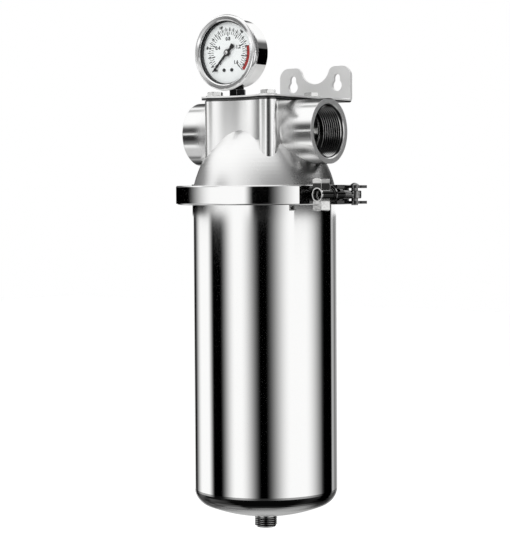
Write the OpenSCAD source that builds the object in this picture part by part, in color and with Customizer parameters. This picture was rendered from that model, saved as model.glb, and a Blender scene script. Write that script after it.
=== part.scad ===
// Inline water pre-filter: cast head with two side ports, wall bracket, pressure gauge,
// two-piece bolted clamp, drawn bowl with a drain nipple and a mesh cartridge inside.
// Origin: on the wall face of the bracket, midway between the two keyholes.
// +X runs along the ports to the outlet, +Y points into the wall, +Z points up.

/* [Bowl] */
// Outside diameter of the bowl tube
bowl_d = 133; // [129:0.5:138]
// Thickness of the bowl's sheet
bowl_wall = 1.5; // [1.2:0.1:2]
// From the bottom of the mesh screen down to the lowest point of the bowl
bowl_below = 35.5; // [35:0.5:60]
// Radius of the shallow crown of the bowl's bottom
crown_r = 150; // [130:5:200]
// Radius of the knuckle between the tube and the bottom
knuckle_r = 16; // [12:1:22]
// Outside diameter of the drain nipple (G 1/2 male)
drain_d = 20.955; // [19:0.005:24]
// Bore of the drain nipple
drain_bore = 15; // [9:0.5:16]
// Length of the drain nipple below the bowl's lowest point
drain_length = 11.5; // [8:0.5:20]

/* [Clamped joint] */
// Thickness of the flange gasket
gasket_t = 2; // [1.5:0.1:3]
// How far the two flanges stand out from the bowl tube
flange_out = 6; // [4:0.5:7]
// Thickness of each flange at its rim
flange_rim = 2; // [1.5:0.1:3]
// Slope of the flange backs and of the clamp groove, in degrees
flange_slope = 20; // [15:1:22]
// Height of the clamp ring
ring_h = 17.8; // [17:0.2:24]
// Radial thickness of the clamp ring at its lips
ring_w = 13.6; // [12.5:0.1:16]
// Wall left between the clamp groove and the outer face
ring_back = 7; // [5:0.1:8]
// Angle from the outlet port's axis round to the clamp's closure, towards the front
closure_turn = 9; // [5:1:15]

/* [Swing bolt and wing nut] */
// Thread diameter of the swing bolt
swing_d = 8; // [6:0.5:8]
// From the clamp ring's outer face to the swing bolt's centre line
swing_out = 15.4; // [15.2:0.1:18]
// From the split between the clamp halves to the pin of the swing bolt
pin_back = 17.4; // [16:0.2:20]
// Diameter of the swing bolt's pin
pin_d = 6; // [5:0.5:6]
// Outside diameter of the swing bolt's eye
eye_d = 12.4; // [11.5:0.1:13]
// Height of the swing bolt's eye
eye_h = 7; // [6:0.5:9]
// Thickness of the fork lug along the bolt
lug_t = 10; // [8:0.5:12]
// From the split between the clamp halves to the front of the fork lug
lug_front = 13; // [12:0.2:14]
// Outside diameter of the wing nut's sleeve, which lies in the fork
sleeve_d = 9.8; // [9.6:0.1:10]
// Length of the wing nut's sleeve beyond its shoulder
sleeve_length = 13; // [8:0.5:13.5]
// Outside diameter of the wing nut's hub
hub_d = 12.4; // [12:0.1:13]
// Length of the wing nut's hub
hub_length = 16.8; // [14:0.2:20]
// Tip to tip span of the wings
wing_span = 29; // [26:0.5:29.5]
// Width of each wing
wing_w = 12.6; // [9:0.2:13]
// Length of each wing along the bolt
wing_length = 11; // [9:0.5:13]

/* [Head] */
// From the joint plane to the top of the head
head_h = 87.3; // [84:0.5:96]
// Width of the head's square block along the ports
block_x = 76.8; // [74:0.4:82]
// Depth of the head's square block across the ports
block_y = 74; // [72:0.4:78]
// Spacing of the bracket bolts along the ports
bolt_x = 60; // [58:0.5:62]
// Spacing of the bracket bolts across the ports
bolt_y = 69; // [68:0.5:72]
// Radius of the four bolt columns
column_r = 9.4; // [8.5:0.1:10]
// Outside diameter of the two ports
port_od = 59; // [58:0.5:64]
// Bore of the two ports at the thread's root (G 1 1/2 female)
port_bore = 47.8; // [42:0.1:48]
// Depth of the port threads
port_depth = 24; // [18:1:26]
// From one port's mouth to the other's
port_span = 146; // [144:0.5:170]
// Bore of the passages behind the threads
passage_d = 34; // [28:1:35]
// Outside diameter of the outlet spigot inside the head
spigot_d = 44; // [40:1:46]
// Bore of the outlet spigot
spigot_bore = 30; // [28:0.5:31]
// How far the machined seat on top stands in from the casting's outline
seat_inset = 0.9; // [0.5:0.1:1.5]
// Height of that seat
seat_rise = 1; // [0.6:0.1:2]

/* [Wall bracket] */
// Thickness of the bracket's sheet
sheet = 3; // [2:0.5:4]
// From the head's centre line to the wall
wall_out = 87; // [86:0.5:110]
// Width of the bracket's upright plate
plate_w = 82; // [80:1:86]
// Height of the upright plate above the head's top
plate_h = 35.4; // [34:0.2:42]
// Lowest point of the notch above the head's top
notch_up = 19.1; // [17:0.1:24]
// Radius of the notch's floor
notch_r = 17; // [15:0.5:18]
// Spacing of the two keyholes
keyhole_span = 51; // [49:0.5:54]
// Height of the keyholes' entry holes above the head's top
keyhole_up = 17; // [15:0.5:19]
// Diameter of the keyholes' entry holes
keyhole_d = 11; // [10:0.1:12]
// Width of the keyholes' upper slots
keyhole_slot = 7.2; // [6:0.1:7.4]
// From an entry hole's centre up to its slot's end
keyhole_rise = 10.9; // [9:0.1:12]

/* [Bracket bolts] */
// Thread diameter of the bracket bolts
bolt_d = 8; // [6:1:8]
// Length of the bracket bolts under the head
bolt_length = 22; // [18:1:25]
// Across flats of the bolt heads
bolt_af = 13; // [10:0.5:14]
// Height of the bolt heads
bolt_head = 3.5; // [3:0.1:6]
// Diameter of the washers
washer_d = 17; // [15:0.5:18]
// Thickness of the washers
washer_t = 0.9; // [0.8:0.1:2]

/* [Pressure gauge] */
// From the head's centre line to the gauge stem, along the ports
gauge_off = 30; // [28:0.5:30.5]
// Height of the gauge's centre above the head's top
gauge_up = 44.7; // [43.5:0.1:54]
// Outside diameter of the gauge case
case_d = 63; // [62:0.5:65]
// Thickness of the gauge case's sheet
case_wall = 1.2; // [0.8:0.1:1.2]
// Outside diameter of the bezel
bezel_d = 70.4; // [69.5:0.1:74]
// Diameter of the dial's opening in the bezel
view_d = 57; // [54:0.5:57.4]
// From the gauge stem to the front of the bezel
gauge_front = 20.6; // [20:0.1:22]
// From the gauge stem to the back of the case
gauge_back = 5; // [4.6:0.1:8]
// Across flats of the gauge's hexagon
hex_af = 14; // [13:0.5:17]
// Height of the gauge's hexagon
hex_h = 8.2; // [6:0.1:8.4]
// Thread diameter of the gauge stem (G 1/4)
stem_d = 13.157; // [9:0.5:13.2]
// Sweep of the pointer, in degrees
sweep = 270; // [180:30:270]

/* [Cartridge] */
// Outside diameter of the mesh screen
screen_d = 66; // [56:1:80]
// Length of the mesh screen
screen_length = 240; // [220:1:240]
// From the joint plane down to the top of the screen
screen_drop = 22; // [20:1:24]
// Outside diameter of the perforated core
core_d = 36; // [30:1:44]
// Wire diameter of the holding spring
spring_wire = 2.5; // [1.5:0.1:3]
// Number of free turns of the holding spring
spring_turns = 3; // [2:1:5]

/* [Hidden] */

$fn = 96;
eps = 0.01;       // how far a cut runs past the face it opens
fit = 0.15;       // gap between the clamp groove and the flanges
running = 0.05;   // radial gap of a turning shaft
loose = 0.3;      // gap between pieces that only lie near each other
bolt_gap = 0.6;   // radial gap of a bolt in a sheet

bowl_r = bowl_d / 2;
bowl_in = bowl_r - bowl_wall;
flange_r = bowl_r + flange_out;
face_z = gasket_t / 2;
rim_z = face_z + flange_rim;
hub_z = rim_z + flange_out * tan(flange_slope);
lip_r = bowl_r + 1.5;
ring_r = lip_r + ring_w;
ring_z = ring_h / 2;
groove_r = ring_r - ring_back;
shell_top = ring_z - 0.6;
split = 2.5;      // half the gap between the clamp halves, in degrees
pad_turn = 22;    // how far round a lug's pad reaches, in degrees
hinge_r = ring_r + 10;
hinge_pin_r = 3.5;
knuckle_out = 7;
knuckle_mid = 2.9;

swing_r = ring_r + swing_out;
swing_thread = swing_d / 2;
pin_r = pin_d / 2;
nut_face = lug_front + loose;
nut_washer_t = 1.6;
shoulder = nut_face + nut_washer_t;
nut_mouth = shoulder + hub_length;
lug_h = ring_z - 0.3;
slot_r = sleeve_d / 2 + 0.4;
ear_t = 2.6;
ear_in = ring_z - 0.6 - ear_t;

port_r = port_od / 2;
port_drop = 0.45; // from the head's top down to the top of the ports
port_z = head_h - port_r - port_drop;
mouth_x = port_span / 2;
web = (block_y - bolt_y) / 2;   // from the bolts' line to the deepest point of a hollowed face
// The hollowed front and back faces run into the columns without an edge.
scallop_r = (pow(bolt_x / 2, 2) + web * web - column_r * column_r) / (2 * (column_r - web));
passage_r = passage_d / 2;
spigot_low = 4;
cavity_top = port_z - passage_r - 4;
block_low = 28;   // where the block's columns end inside the bell

plate_z = head_h + sheet;
keyhole_z = head_h + keyhole_up;
bend_r = 2;
lobe = 3;         // how far the sheet stands out round the front columns

gauge_z = head_h + gauge_up;
case_r = case_d / 2;
case_in = case_r - case_wall;
bezel_r = bezel_d / 2;
view_r = view_d / 2;
dial_y = gauge_front - 6.2;
dial_t = 0.6;
spacer_t = 3;
glass_t = 1.5;
skirt_y = gauge_front - 10;   // where the bezel's skirt ends on the case
glass_y = dial_y + spacer_t;
seat_y = glass_y + glass_t;
hex_z = plate_z + hex_h;
seal_t = 1.5;
stem_in = 12;     // length of the stem's thread in the head
neck_half = 5.9;  // radius of the stem's neck above the hexagon
block_half = 6;   // half the width of the socket's block inside the case
block_rise = 11;  // height of that block from the case's wall
inlet_r = 1.6;    // bore through the socket
stem_bore = 3;    // radius of the wider bore at the stem's end
stem_bore_l = 7;

gear_mod = 0.4;
pinion_teeth = 12;
sector_teeth = 72;
pinion_pitch = gear_mod * pinion_teeth / 2;
sector_pitch = gear_mod * sector_teeth / 2;
sector_swing = sweep * pinion_teeth / sector_teeth;
pivot_drop = pinion_pitch + sector_pitch;
arbor_r = 0.8;
plate_t = 1;
back_plate_y = 5.5;
front_plate_y = 9.5;
gear_y = 7.8;
gear_t = 0.8;
link_y = 7;
link_t = 0.6;
tail_x = 8.5;
tail_drop = 1.7;
tube_r = 22;
tube_w = 3;
tube_d = 6;
tube_y = -1;
link_end = [tube_r * cos(10) - 1.2 - tail_x, pivot_drop - tube_r * sin(10) + tail_drop];
dial_screw_x = 4.45;
dial_screw_drop = 15.9;
stop_reach = 20.6;
stop_r = 1.1;
needle_y = dial_y + 1.2;
needle_t = 0.8;
zero_turn = 225;
stop_angle = zero_turn + 5.2;

screen_r = screen_d / 2;
screen_bottom = screen_drop + screen_length;
bowl_depth = screen_bottom + bowl_below;
cap_r = screen_r + 1;
cap_t = 6;
neck_r = spigot_bore / 2 - 0.4;
neck_bore_r = 11;
seal_wire = 1.45;
seal_levels = [12, 19];
neck_top = 24;
spring_r = 20;
spring_boss = spring_r - spring_wire / 2 - 0.6;

crown_z = -bowl_depth;
drain_neck = drain_d / 2 - 1.3;

// Moves the whole object from the vessel's centre to its natural reference point.
module placed() {
    translate([0, -wall_out, -keyhole_z]) children();
}

// Turns pieces of the closure from the outlet port's axis to their real place.
module at_closure() {
    placed() rotate([0, 0, -closure_turn]) children();
}

// Gauge pieces are drawn round +Z, with the dial facing +Z and +Y up, and stood up here.
module at_gauge() {
    placed() translate([-gauge_off, 0, gauge_z]) rotate([90, 0, 0]) children();
}

// A disc or tube between two heights of the axis it is drawn on.
module ring(r_out, r_in, low, high) {
    translate([0, 0, low]) difference() {
        cylinder(r = r_out, h = high - low);
        if (r_in > 0) translate([0, 0, -eps]) cylinder(r = r_in, h = high - low + 2 * eps);
    }
}

// A box from one corner to the opposite one.
module block(low, high) {
    translate(low) cube(high - low);
}

// Points of an arc, for the outlines.
function arc(c, r, from, to, n = 12) =
    [for (i = [0 : n]) let (a = from + (to - from) * i / n) [c[0] + r * cos(a), c[1] + r * sin(a)]];

// The list without its first point, where one arc goes on from another.
function onward(points) = [for (i = [1 : len(points) - 1]) points[i]];

// Points of a smooth curve that four points steer.
function curve(p, n = 14) =
    [for (i = [0 : n]) let (t = i / n, u = 1 - t)
        u * u * u * p[0] + 3 * u * u * t * p[1] + 3 * u * t * t * p[2] + t * t * t * p[3]];

// Profile of the bowl, from its tube round the knuckle to the middle of the crown.
module bowl_profile(out, crown, knuckle, top) {
    side = out - knuckle;
    rise = sqrt(pow(crown - knuckle, 2) - side * side);
    middle = crown_z + crown_r;
    turn = atan2(side, rise);
    polygon(concat(
        [[0, -top], [out, -top]],
        arc([side, middle - rise], knuckle, 0, turn - 90, 10),
        onward(arc([0, middle], crown, turn - 90, -90, 16))));
}

// Head

// Outside of the head as one turned shape: flange and bell.
module bell_outside() {
    rotate_extrude() polygon(concat(
        [[0, face_z], [flange_r, face_z], [flange_r, rim_z], [bowl_r, hub_z]],
        curve([[bowl_r - 0.5, hub_z + 1], [bowl_r - 4, 20], [bowl_r - 8.5, 36], [36, 60]]),
        [[0, 60]]));
}

// Hollow of the bell round the spigot.
module bell_inside() {
    difference() {
        rotate_extrude() polygon(concat(
            [[0, face_z - 1]],
            curve([[bowl_r - 4.5, face_z - 1], [bowl_r - 8, 18], [bowl_r - 14, cavity_top - 2], [38, cavity_top]]),
            [[0, cavity_top]]));
        translate([0, 0, spigot_low]) cylinder(d = spigot_d, h = cavity_top);
    }
}

// One of the two ports with the cut that its thread takes, along +X.
module port_body() {
    rotate([0, 90, 0]) difference() {
        cylinder(r = port_r, h = mouth_x);
        translate([0, 0, mouth_x - 1.2])
            rotate_extrude() polygon([[0, 0], [port_bore / 2 - 0.2, 0], [port_bore / 2 + 1.2, 1.2 + eps], [0, 1.2 + eps]]);
    }
}

// Plan of the head's block: four round columns, and front and back faces hollowed between them.
module block_plan(inset = 0) {
    hollow_y = -block_y / 2 - scallop_r;
    lean = atan2(-bolt_y / 2 - hollow_y, bolt_x / 2);
    hollow = arc([0, hollow_y], scallop_r + inset, 180 - lean, lean, 48);
    square([block_x - 2 * inset, bolt_y], center = true);
    polygon(concat(hollow, [for (p = hollow) -1 * p]));
    for (x = [-1, 1], y = [-1, 1]) translate([x * bolt_x / 2, y * bolt_y / 2]) circle(r = column_r - inset);
}

module head() {
    color("gainsboro") placed() difference() {
        union() {
            bell_outside();
            translate([0, 0, block_low]) linear_extrude(head_h - seat_rise - block_low) block_plan();
            translate([0, 0, block_low]) linear_extrude(head_h - block_low) block_plan(seat_inset);
            translate([0, 0, port_z]) for (side = [0, 180]) rotate([0, 0, side]) port_body();
        }
        bell_inside();
        for (side = [-1, 1]) translate([side * mouth_x, 0, port_z]) rotate([0, -side * 90, 0]) {
            translate([0, 0, -eps]) cylinder(d = port_bore, h = port_depth + eps);
        }
        // Outlet: up the spigot and out to +X
        translate([0, 0, spigot_low - 1]) cylinder(d = spigot_bore, h = port_z - spigot_low + 1);
        translate([0, 0, port_z]) sphere(d = passage_d);
        translate([0, 0, port_z]) rotate([0, 90, 0]) cylinder(r = passage_r, h = mouth_x - 1);
        // Inlet: in from -X and down beside the spigot
        translate([-mouth_x + 1, 0, port_z]) rotate([0, 90, 0]) cylinder(r = passage_r, h = mouth_x - 27);
        translate([-spigot_d / 2 - 10, 0, cavity_top - 6]) cylinder(r = 8.5, h = port_z - cavity_top + 6);
        // Threaded holes in the top
        for (x = [-1, 1], y = [-1, 1])
            translate([x * bolt_x / 2, y * bolt_y / 2, plate_z + washer_t - bolt_length - 2])
                cylinder(r = bolt_d / 2 + running, h = bolt_length + 2);
        translate([-gauge_off, 0, port_z]) cylinder(r = stem_d / 2 + running, h = head_h);
    }
}

// Wall bracket

// Plan of the sheet, with a lobe round each front bolt. Its sides are cut by the front view.
module bracket_plan() {
    for (x = [-1, 1]) translate([x * bolt_x / 2, -bolt_y / 2]) circle(r = column_r + lobe);
    translate([-plate_w, -bolt_y / 2]) square([2 * plate_w, bolt_y / 2 + wall_out + 1]);
    difference() {
        translate([-bolt_x / 2, -bolt_y / 2 - column_r - lobe]) square([bolt_x, block_y / 2]);
        translate([0, -block_y / 2 - scallop_r]) circle(r = scallop_r - lobe, $fn = 360);
    }
}

// Side view of the folded sheet: flat on the head, round the bend and up the wall.
module fold_profile() {
    bend = [wall_out - sheet - bend_r, plate_z + bend_r];
    polygon(concat(
        [[-block_y, plate_z], [-block_y, head_h]],
        arc(bend, bend_r + sheet, -90, 0, 10),
        [[wall_out, head_h + plate_h + 1], [wall_out - sheet, head_h + plate_h + 1]],
        arc(bend, bend_r, 0, -90, 10)));
}

// Front view of the upright plate, with two rounded tabs and the notch between them.
module upright_outline() {
    corner = 10;
    inner = 7;
    top = head_h + plate_h;
    floor_z = head_h + notch_up + notch_r;
    centre_z = top - inner;
    centre_x = sqrt(pow(notch_r + inner, 2) - pow(floor_z - centre_z, 2));
    lean = atan2(floor_z - centre_z, centre_x);
    half = concat(
        [[plate_w / 2, head_h - 1]],
        arc([plate_w / 2 - corner, top - corner], corner, 0, 90),
        arc([centre_x, centre_z], inner, 90, 180 - lean),
        onward(arc([0, floor_z], notch_r, -lean, -90)));
    polygon(concat(half, [for (i = [len(half) - 2 : -1 : 0]) [-half[i][0], half[i][1]]]));
}

module wall_bracket() {
    color("silver") placed() difference() {
        intersection() {
            translate([0, 0, head_h - 1]) linear_extrude(plate_h + 3) bracket_plan();
            translate([-plate_w, 0, 0]) rotate([90, 0, 90]) linear_extrude(2 * plate_w) fold_profile();
            translate([0, 2 * wall_out, 0]) rotate([90, 0, 0]) linear_extrude(3 * wall_out) upright_outline();
        }
        for (x = [-1, 1], y = [-1, 1]) translate([x * bolt_x / 2, y * bolt_y / 2, head_h - 1])
            cylinder(r = bolt_d / 2 + bolt_gap, h = sheet + 2);
        translate([-gauge_off, 0, head_h - 1]) cylinder(r = stem_d / 2 + 2.6, h = sheet + 2);
        for (x = [-1, 1]) translate([x * keyhole_span / 2, wall_out + 1, keyhole_z]) rotate([90, 0, 0]) {
            cylinder(d = keyhole_d, h = sheet + 2);
            translate([0, keyhole_rise - keyhole_slot / 2, 0]) cylinder(d = keyhole_slot, h = sheet + 2);
            block([-keyhole_slot / 2, 0, 0], [keyhole_slot / 2, keyhole_rise - keyhole_slot / 2, sheet + 2]);
        }
    }
}

module at_bracket_bolts() {
    placed() for (x = [-1, 1], y = [-1, 1])
        translate([x * bolt_x / 2, y * bolt_y / 2, plate_z]) children();
}

module bracket_bolts() {
    color("lightgray") at_bracket_bolts() translate([0, 0, washer_t]) {
        cylinder(d = bolt_af / cos(30), h = bolt_head, $fn = 6);
        translate([0, 0, -bolt_length]) cylinder(d = bolt_d, h = bolt_length + 1);
    }
}

module bracket_washers() {
    color("silver") at_bracket_bolts() ring(washer_d / 2, bolt_d / 2 + 0.2, 0, washer_t);
}

// Bowl

module bowl_shell() {
    color("whitesmoke") placed() difference() {
        rotate_extrude() difference() {
            bowl_profile(bowl_r, crown_r, knuckle_r, shell_top);
            bowl_profile(bowl_in, crown_r - bowl_wall, knuckle_r - bowl_wall, shell_top - 1);
        }
        translate([0, 0, crown_z - 1]) cylinder(r = drain_neck, h = 20);
    }
}

module bowl_flange() {
    color("silver") placed() rotate_extrude() polygon([
        [bowl_in, -face_z], [flange_r, -face_z], [flange_r, -rim_z], [bowl_r, -hub_z],
        [bowl_r, -shell_top], [bowl_in, -shell_top]]);
}

module drain_nipple() {
    seat = crown_z + 0.25;
    color("silver") placed() {
        ring(drain_d / 2, drain_bore / 2, crown_z - drain_length, seat);
        ring(drain_neck, drain_bore / 2, seat - eps, crown_z + bowl_wall + 1.5);
    }
}

module flange_gasket() {
    color("dimgray") placed() ring(flange_r - 0.3, bowl_in - 2, -face_z, face_z);
}

// Clamp

// Cross section of the clamp ring, open to the flanges.
module clamp_section() {
    edge = 1.4;
    groove_lip = rim_z + fit + (flange_r - lip_r) * tan(flange_slope);
    half = concat(
        [[groove_r, 0], [groove_r, rim_z + fit], [flange_r, rim_z + fit], [lip_r, groove_lip], [lip_r, ring_z]],
        arc([ring_r - edge, ring_z - edge], edge, 90, 0, 6),
        [[ring_r, 0]]);
    polygon(half);
    mirror([0, 1]) polygon(half);
}

// Half of the ring from one angle to another, without the gaps at the ends.
module clamp_half(from, to) {
    rotate_extrude(angle = to - from, start = from) clamp_section();
}

// A raised pad on the ring's outer face that carries a lug.
module clamp_pad(from, to) {
    rotate_extrude(angle = to - from, start = from)
        translate([ring_r - 4, -ring_z + 0.9]) square([6.2, ring_h - 1.8]);
}

// The knuckle of a clamp half on the hinge pin, between two heights.
module hinge_knuckle(low, high, side) {
    translate([-hinge_r, 0, 0]) ring(knuckle_out, hinge_pin_r, low, high);
    difference() {
        block([-hinge_r, min(0, side * knuckle_out), low], [-ring_r + 3, max(0, side * knuckle_out), high]);
        translate([-hinge_r, 0, low - 1]) cylinder(r = hinge_pin_r, h = high - low + 2);
    }
}

// The forked lug of the front half. Its nose is round about the swing bolt's pin.
module fork_lug() {
    intersection() {
        difference() {
            block([ring_r - 3, -lug_front, -lug_h], [swing_r + 6.2, -lug_front + lug_t, lug_h]);
            translate([swing_r, 1, 0]) rotate([90, 0, 0]) cylinder(r = slot_r, h = lug_front + 3);
            block([swing_r, -lug_front - 2, -slot_r], [swing_r + 20, 1, slot_r]);
        }
        translate([swing_r, pin_back, -ring_h]) cylinder(r = pin_back + lug_front, h = 2 * ring_h);
    }
}

// Plan of an ear that carries the swing bolt's pin.
module ear_plan() {
    tip = [swing_r + 2.5, pin_back + 9.3];
    tip_r = 3;
    translate([swing_r, pin_back]) circle(r = 6.4);
    translate(tip) circle(r = tip_r);
    polygon([[ring_r - 4, 5.5], [swing_r - 1, pin_back - 6.3], [swing_r + 5.2, pin_back - 3.7],
        [tip[0] + tip_r, tip[1]], [tip[0] - 1, tip[1] + tip_r - 0.2], [ring_r - 10.5, pin_back + 14]]);
}

module clamp_front_half() {
    color("gainsboro") at_closure() {
        clamp_half(180 + split, 360 - split);
        clamp_pad(360 - pad_turn, 360 - split);
        fork_lug();
        hinge_knuckle(knuckle_mid + 0.2, lug_h, -1);
        hinge_knuckle(-lug_h, -knuckle_mid - 0.2, -1);
    }
}

module clamp_rear_half() {
    color("gainsboro") at_closure() {
        clamp_half(split, 180 - split);
        clamp_pad(split, pad_turn);
        difference() {
            for (low = [ear_in, -ear_in - ear_t]) translate([0, 0, low]) linear_extrude(ear_t) ear_plan();
            translate([swing_r, pin_back, -ring_h]) cylinder(r = pin_r, h = 2 * ring_h);
            translate([0, 0, -ring_h]) cylinder(r = groove_r + 1, h = 2 * ring_h);
        }
        hinge_knuckle(-knuckle_mid, knuckle_mid, 1);
    }
}

module clamp_hinge_pin() {
    color("silver") at_closure() translate([-hinge_r, 0, 0]) {
        ring(hinge_pin_r, 0, -lug_h - 1.5, lug_h);
        ring(hinge_pin_r + 1.5, 0, lug_h, lug_h + 2);
    }
}

module swing_bolt_pin() {
    high = ear_in + ear_t;
    color("silver") at_closure() translate([swing_r, pin_back, 0]) {
        ring(pin_r, 0, -high - 1.2, high);
        translate([0, 0, high]) intersection() {
            translate([0, 0, -2.6]) sphere(r = 4.8);
            cylinder(r = 4, h = 3);
        }
    }
}

// Swing bolt and nut, with the bolt along -Y from its pin

module swing_bolt() {
    color("gray") at_closure() {
        difference() {
            union() {
                translate([swing_r, pin_back, 0]) ring(eye_d / 2, 0, -eye_h / 2, eye_h / 2);
                translate([swing_r, pin_back - 4.5, 0]) rotate([90, 0, 0])
                    cylinder(r = swing_thread, h = pin_back - 4.5 + nut_mouth - 6);
            }
            translate([swing_r, pin_back, -eye_h]) cylinder(r = pin_r + running, h = 2 * eye_h);
        }
    }
}

module nut_washer() {
    color("silver") at_closure() translate([swing_r, -nut_face, 0]) rotate([90, 0, 0])
        ring(8, swing_thread + 1.2, 0, nut_washer_t);
}

// One wing as seen from the mouth, widening to a rounded end.
module wing_plan() {
    intersection() {
        circle(d = wing_span);
        polygon([[-wing_w / 2 + 1.6, 0], [wing_w / 2 - 1.6, 0], [wing_w / 2, wing_span], [-wing_w / 2, wing_span]]);
    }
}

module wing_nut() {
    color("lightgray") at_closure() translate([swing_r, -shoulder, 0]) rotate([90, 0, 0]) difference() {
        union() {
            ring(sleeve_d / 2, 0, -nut_washer_t, 0.5);
            cylinder(d = hub_d, h = hub_length);
            translate([0, 0, -nut_washer_t - sleeve_length]) cylinder(d = sleeve_d, h = sleeve_length);
            for (side = [0, 180]) rotate([0, 0, side])
                translate([0, 0, hub_length - wing_length]) linear_extrude(wing_length) wing_plan();
        }
        translate([0, 0, -sleeve_length - 5]) cylinder(r = swing_thread + running, h = 60);
        translate([0, 0, hub_length - 5]) cylinder(r = hub_d / 2 - 1, h = 10);
    }
}

// Pressure gauge

// The stem side of the gauge, drawn upright about the stem.
module at_stem() {
    placed() translate([-gauge_off, 0, 0]) children();
}

module gauge_seal() {
    color("peru") at_stem() ring(stem_d / 2 + 1.9, stem_d / 2 + 0.2, head_h, head_h + seal_t);
}

module gauge_socket() {
    low = head_h - stem_in;
    top = gauge_z - case_in + block_rise;
    color("goldenrod") at_stem() difference() {
        union() {
            ring(stem_d / 2, 0, low, hex_z);
            ring(stem_d / 2 + 1.9, 0, head_h + seal_t, plate_z + 1);
            translate([0, 0, plate_z]) cylinder(d = hex_af / cos(30), h = hex_h, $fn = 6);
            ring(neck_half, 0, hex_z - 1, gauge_z - case_in + 2);
            block([-block_half, -back_plate_y, gauge_z - case_in + 1],
                [block_half, gauge_back - case_wall - loose, top]);
        }
        translate([0, 0, low - 1]) cylinder(r = inlet_r, h = top - low - 3);
        translate([0, 0, low - 1]) cylinder(r = stem_bore, h = stem_bore_l + 1);
    }
}

// Gauge case with its stem hole.
module gauge_case() {
    color("silver") difference() {
        at_gauge() difference() {
            ring(case_r, 0, -gauge_back, seat_y - 0.9);
            translate([0, 0, -gauge_back + case_wall]) cylinder(r = case_in, h = gauge_front + gauge_back);
        }
        at_stem() translate([0, 0, hex_z]) cylinder(r = neck_half + 0.1, h = gauge_z - hex_z - case_in + 4);
    }
}

module gauge_bezel() {
    front = gauge_front;
    skirt = skirt_y;
    color("whitesmoke") at_gauge() rotate_extrude() polygon(concat(
        [[case_r + 0.1, skirt], [case_r + 0.9, skirt]],
        curve([[case_r + 1, skirt + 1.6], [case_r + 1.2, skirt + 5], [bezel_r, front - 5.5], [bezel_r, front - 2]], 8),
        arc([bezel_r - 2.4, front - 2.4], 2.4, 10, 90, 6),
        [[view_r + 2, front - 0.3], [view_r + 1, front - 1.1], [view_r + 1, seat_y], [case_r + 0.1, seat_y]]));
}

module gauge_glass() {
    color([0.85, 0.9, 0.92, 0.35]) at_gauge() ring(case_in - 0.1, 0, glass_y, seat_y);
}

// The black ring that holds the glass off the dial.
module gauge_gasket() {
    color("black") at_gauge() ring(case_in - 0.1, view_r - 0.1, dial_y, glass_y);
}

module gauge_dial() {
    color("white") at_gauge() difference() {
        ring(case_in - 0.1, 2, dial_y - dial_t, dial_y);
        for (x = [-1, 1]) translate([x * dial_screw_x, -dial_screw_drop, 0]) cylinder(r = 0.9, h = 60);
        rotate([0, 0, stop_angle]) translate([stop_reach, 0, 0]) cylinder(r = 0.6, h = 60);
    }
}

module dial_screws() {
    color("black") at_gauge() for (x = [-1, 1]) translate([x * dial_screw_x, -dial_screw_drop, 0]) {
        ring(1.6, 0, dial_y, dial_y + 0.8);
        ring(0.8, 0, front_plate_y + 0.2, dial_y);
    }
}

module pointer_stop() {
    color("black") at_gauge() rotate([0, 0, stop_angle]) translate([stop_reach, 0, 0]) {
        ring(stop_r, 0, dial_y, needle_y + needle_t + 0.4);
        ring(0.6, 0, dial_y - dial_t, dial_y);
    }
}

module pointer() {
    color("black") at_gauge() rotate([0, 0, zero_turn]) difference() {
        union() {
            translate([0, 0, needle_y]) linear_extrude(needle_t) {
                polygon([[0, -1.3], [24, -0.25], [24.6, 0], [24, 0.25], [0, 1.3]]);
                polygon([[0, -1.4], [-5, -1.1], [-9.3, -2.5], [-10.4, 0], [-9.3, 2.5], [-5, 1.1], [0, 1.4]]);
            }
            ring(3.2, 0, needle_y - 0.3, needle_y + needle_t + 0.5);
        }
        cylinder(r = arbor_r, h = 60);
    }
}

// A toothed wheel with straight-sided teeth, slightly thin so that a pair runs free.
module toothed(pitch_r, teeth, from, count) {
    slack = 0.04;
    half = gear_mod * PI / 4 - slack;
    root = pitch_r - 1.25 * gear_mod;
    for (i = [0 : count - 1]) rotate((from + i) * 360 / teeth)
        polygon([[root - 0.3, -half - 0.13], [root, -half - 0.13], [pitch_r, -half], [pitch_r + gear_mod, -half + 0.16],
            [pitch_r + gear_mod, half - 0.16], [pitch_r, half], [root, half + 0.13], [root - 0.3, half + 0.13]]);
}

module pinion_arbor() {
    color("goldenrod") at_gauge() {
        ring(arbor_r, 0, back_plate_y + 0.1, needle_y + needle_t + 0.7);
        translate([0, 0, gear_y - 0.5]) linear_extrude(gear_t + 1) {
            circle(r = pinion_pitch - 1.25 * gear_mod + 0.02);
            rotate(-90) toothed(pinion_pitch, pinion_teeth, 0, pinion_teeth);
        }
    }
}

// The toothed sector, drawn at its rest position about its own pivot.
module sector_gear() {
    pitch = 360 / sector_teeth;
    teeth = sector_swing / pitch + 4;
    first = 90 + 1.5 * pitch - (teeth - 1) * pitch;
    last = 90 + 1.5 * pitch;
    reach = sector_pitch - 1.25 * gear_mod + 0.02;
    color("gold") at_gauge() translate([0, -pivot_drop, 0]) {
        translate([0, 0, gear_y]) linear_extrude(gear_t) {
            intersection() {
                circle(r = reach);
                polygon([[0, -1], for (a = [first - 3, (first + last) / 2, last + 3]) 2 * reach * [cos(a), sin(a)]]);
            }
            rotate(first) toothed(sector_pitch, sector_teeth, 0, teeth);
            circle(r = 2.6);
            rotate(atan2(-tail_drop, tail_x)) translate([0, -1.3]) square([norm([tail_x, tail_drop]), 2.6]);
            translate([tail_x, -tail_drop]) circle(r = 1.5);
        }
        ring(arbor_r, 0, back_plate_y + 0.1, front_plate_y + plate_t - 0.1);
        translate([tail_x, -tail_drop, 0]) ring(0.6, 0, link_y - 0.3, gear_y + gear_t);
    }
}

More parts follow.
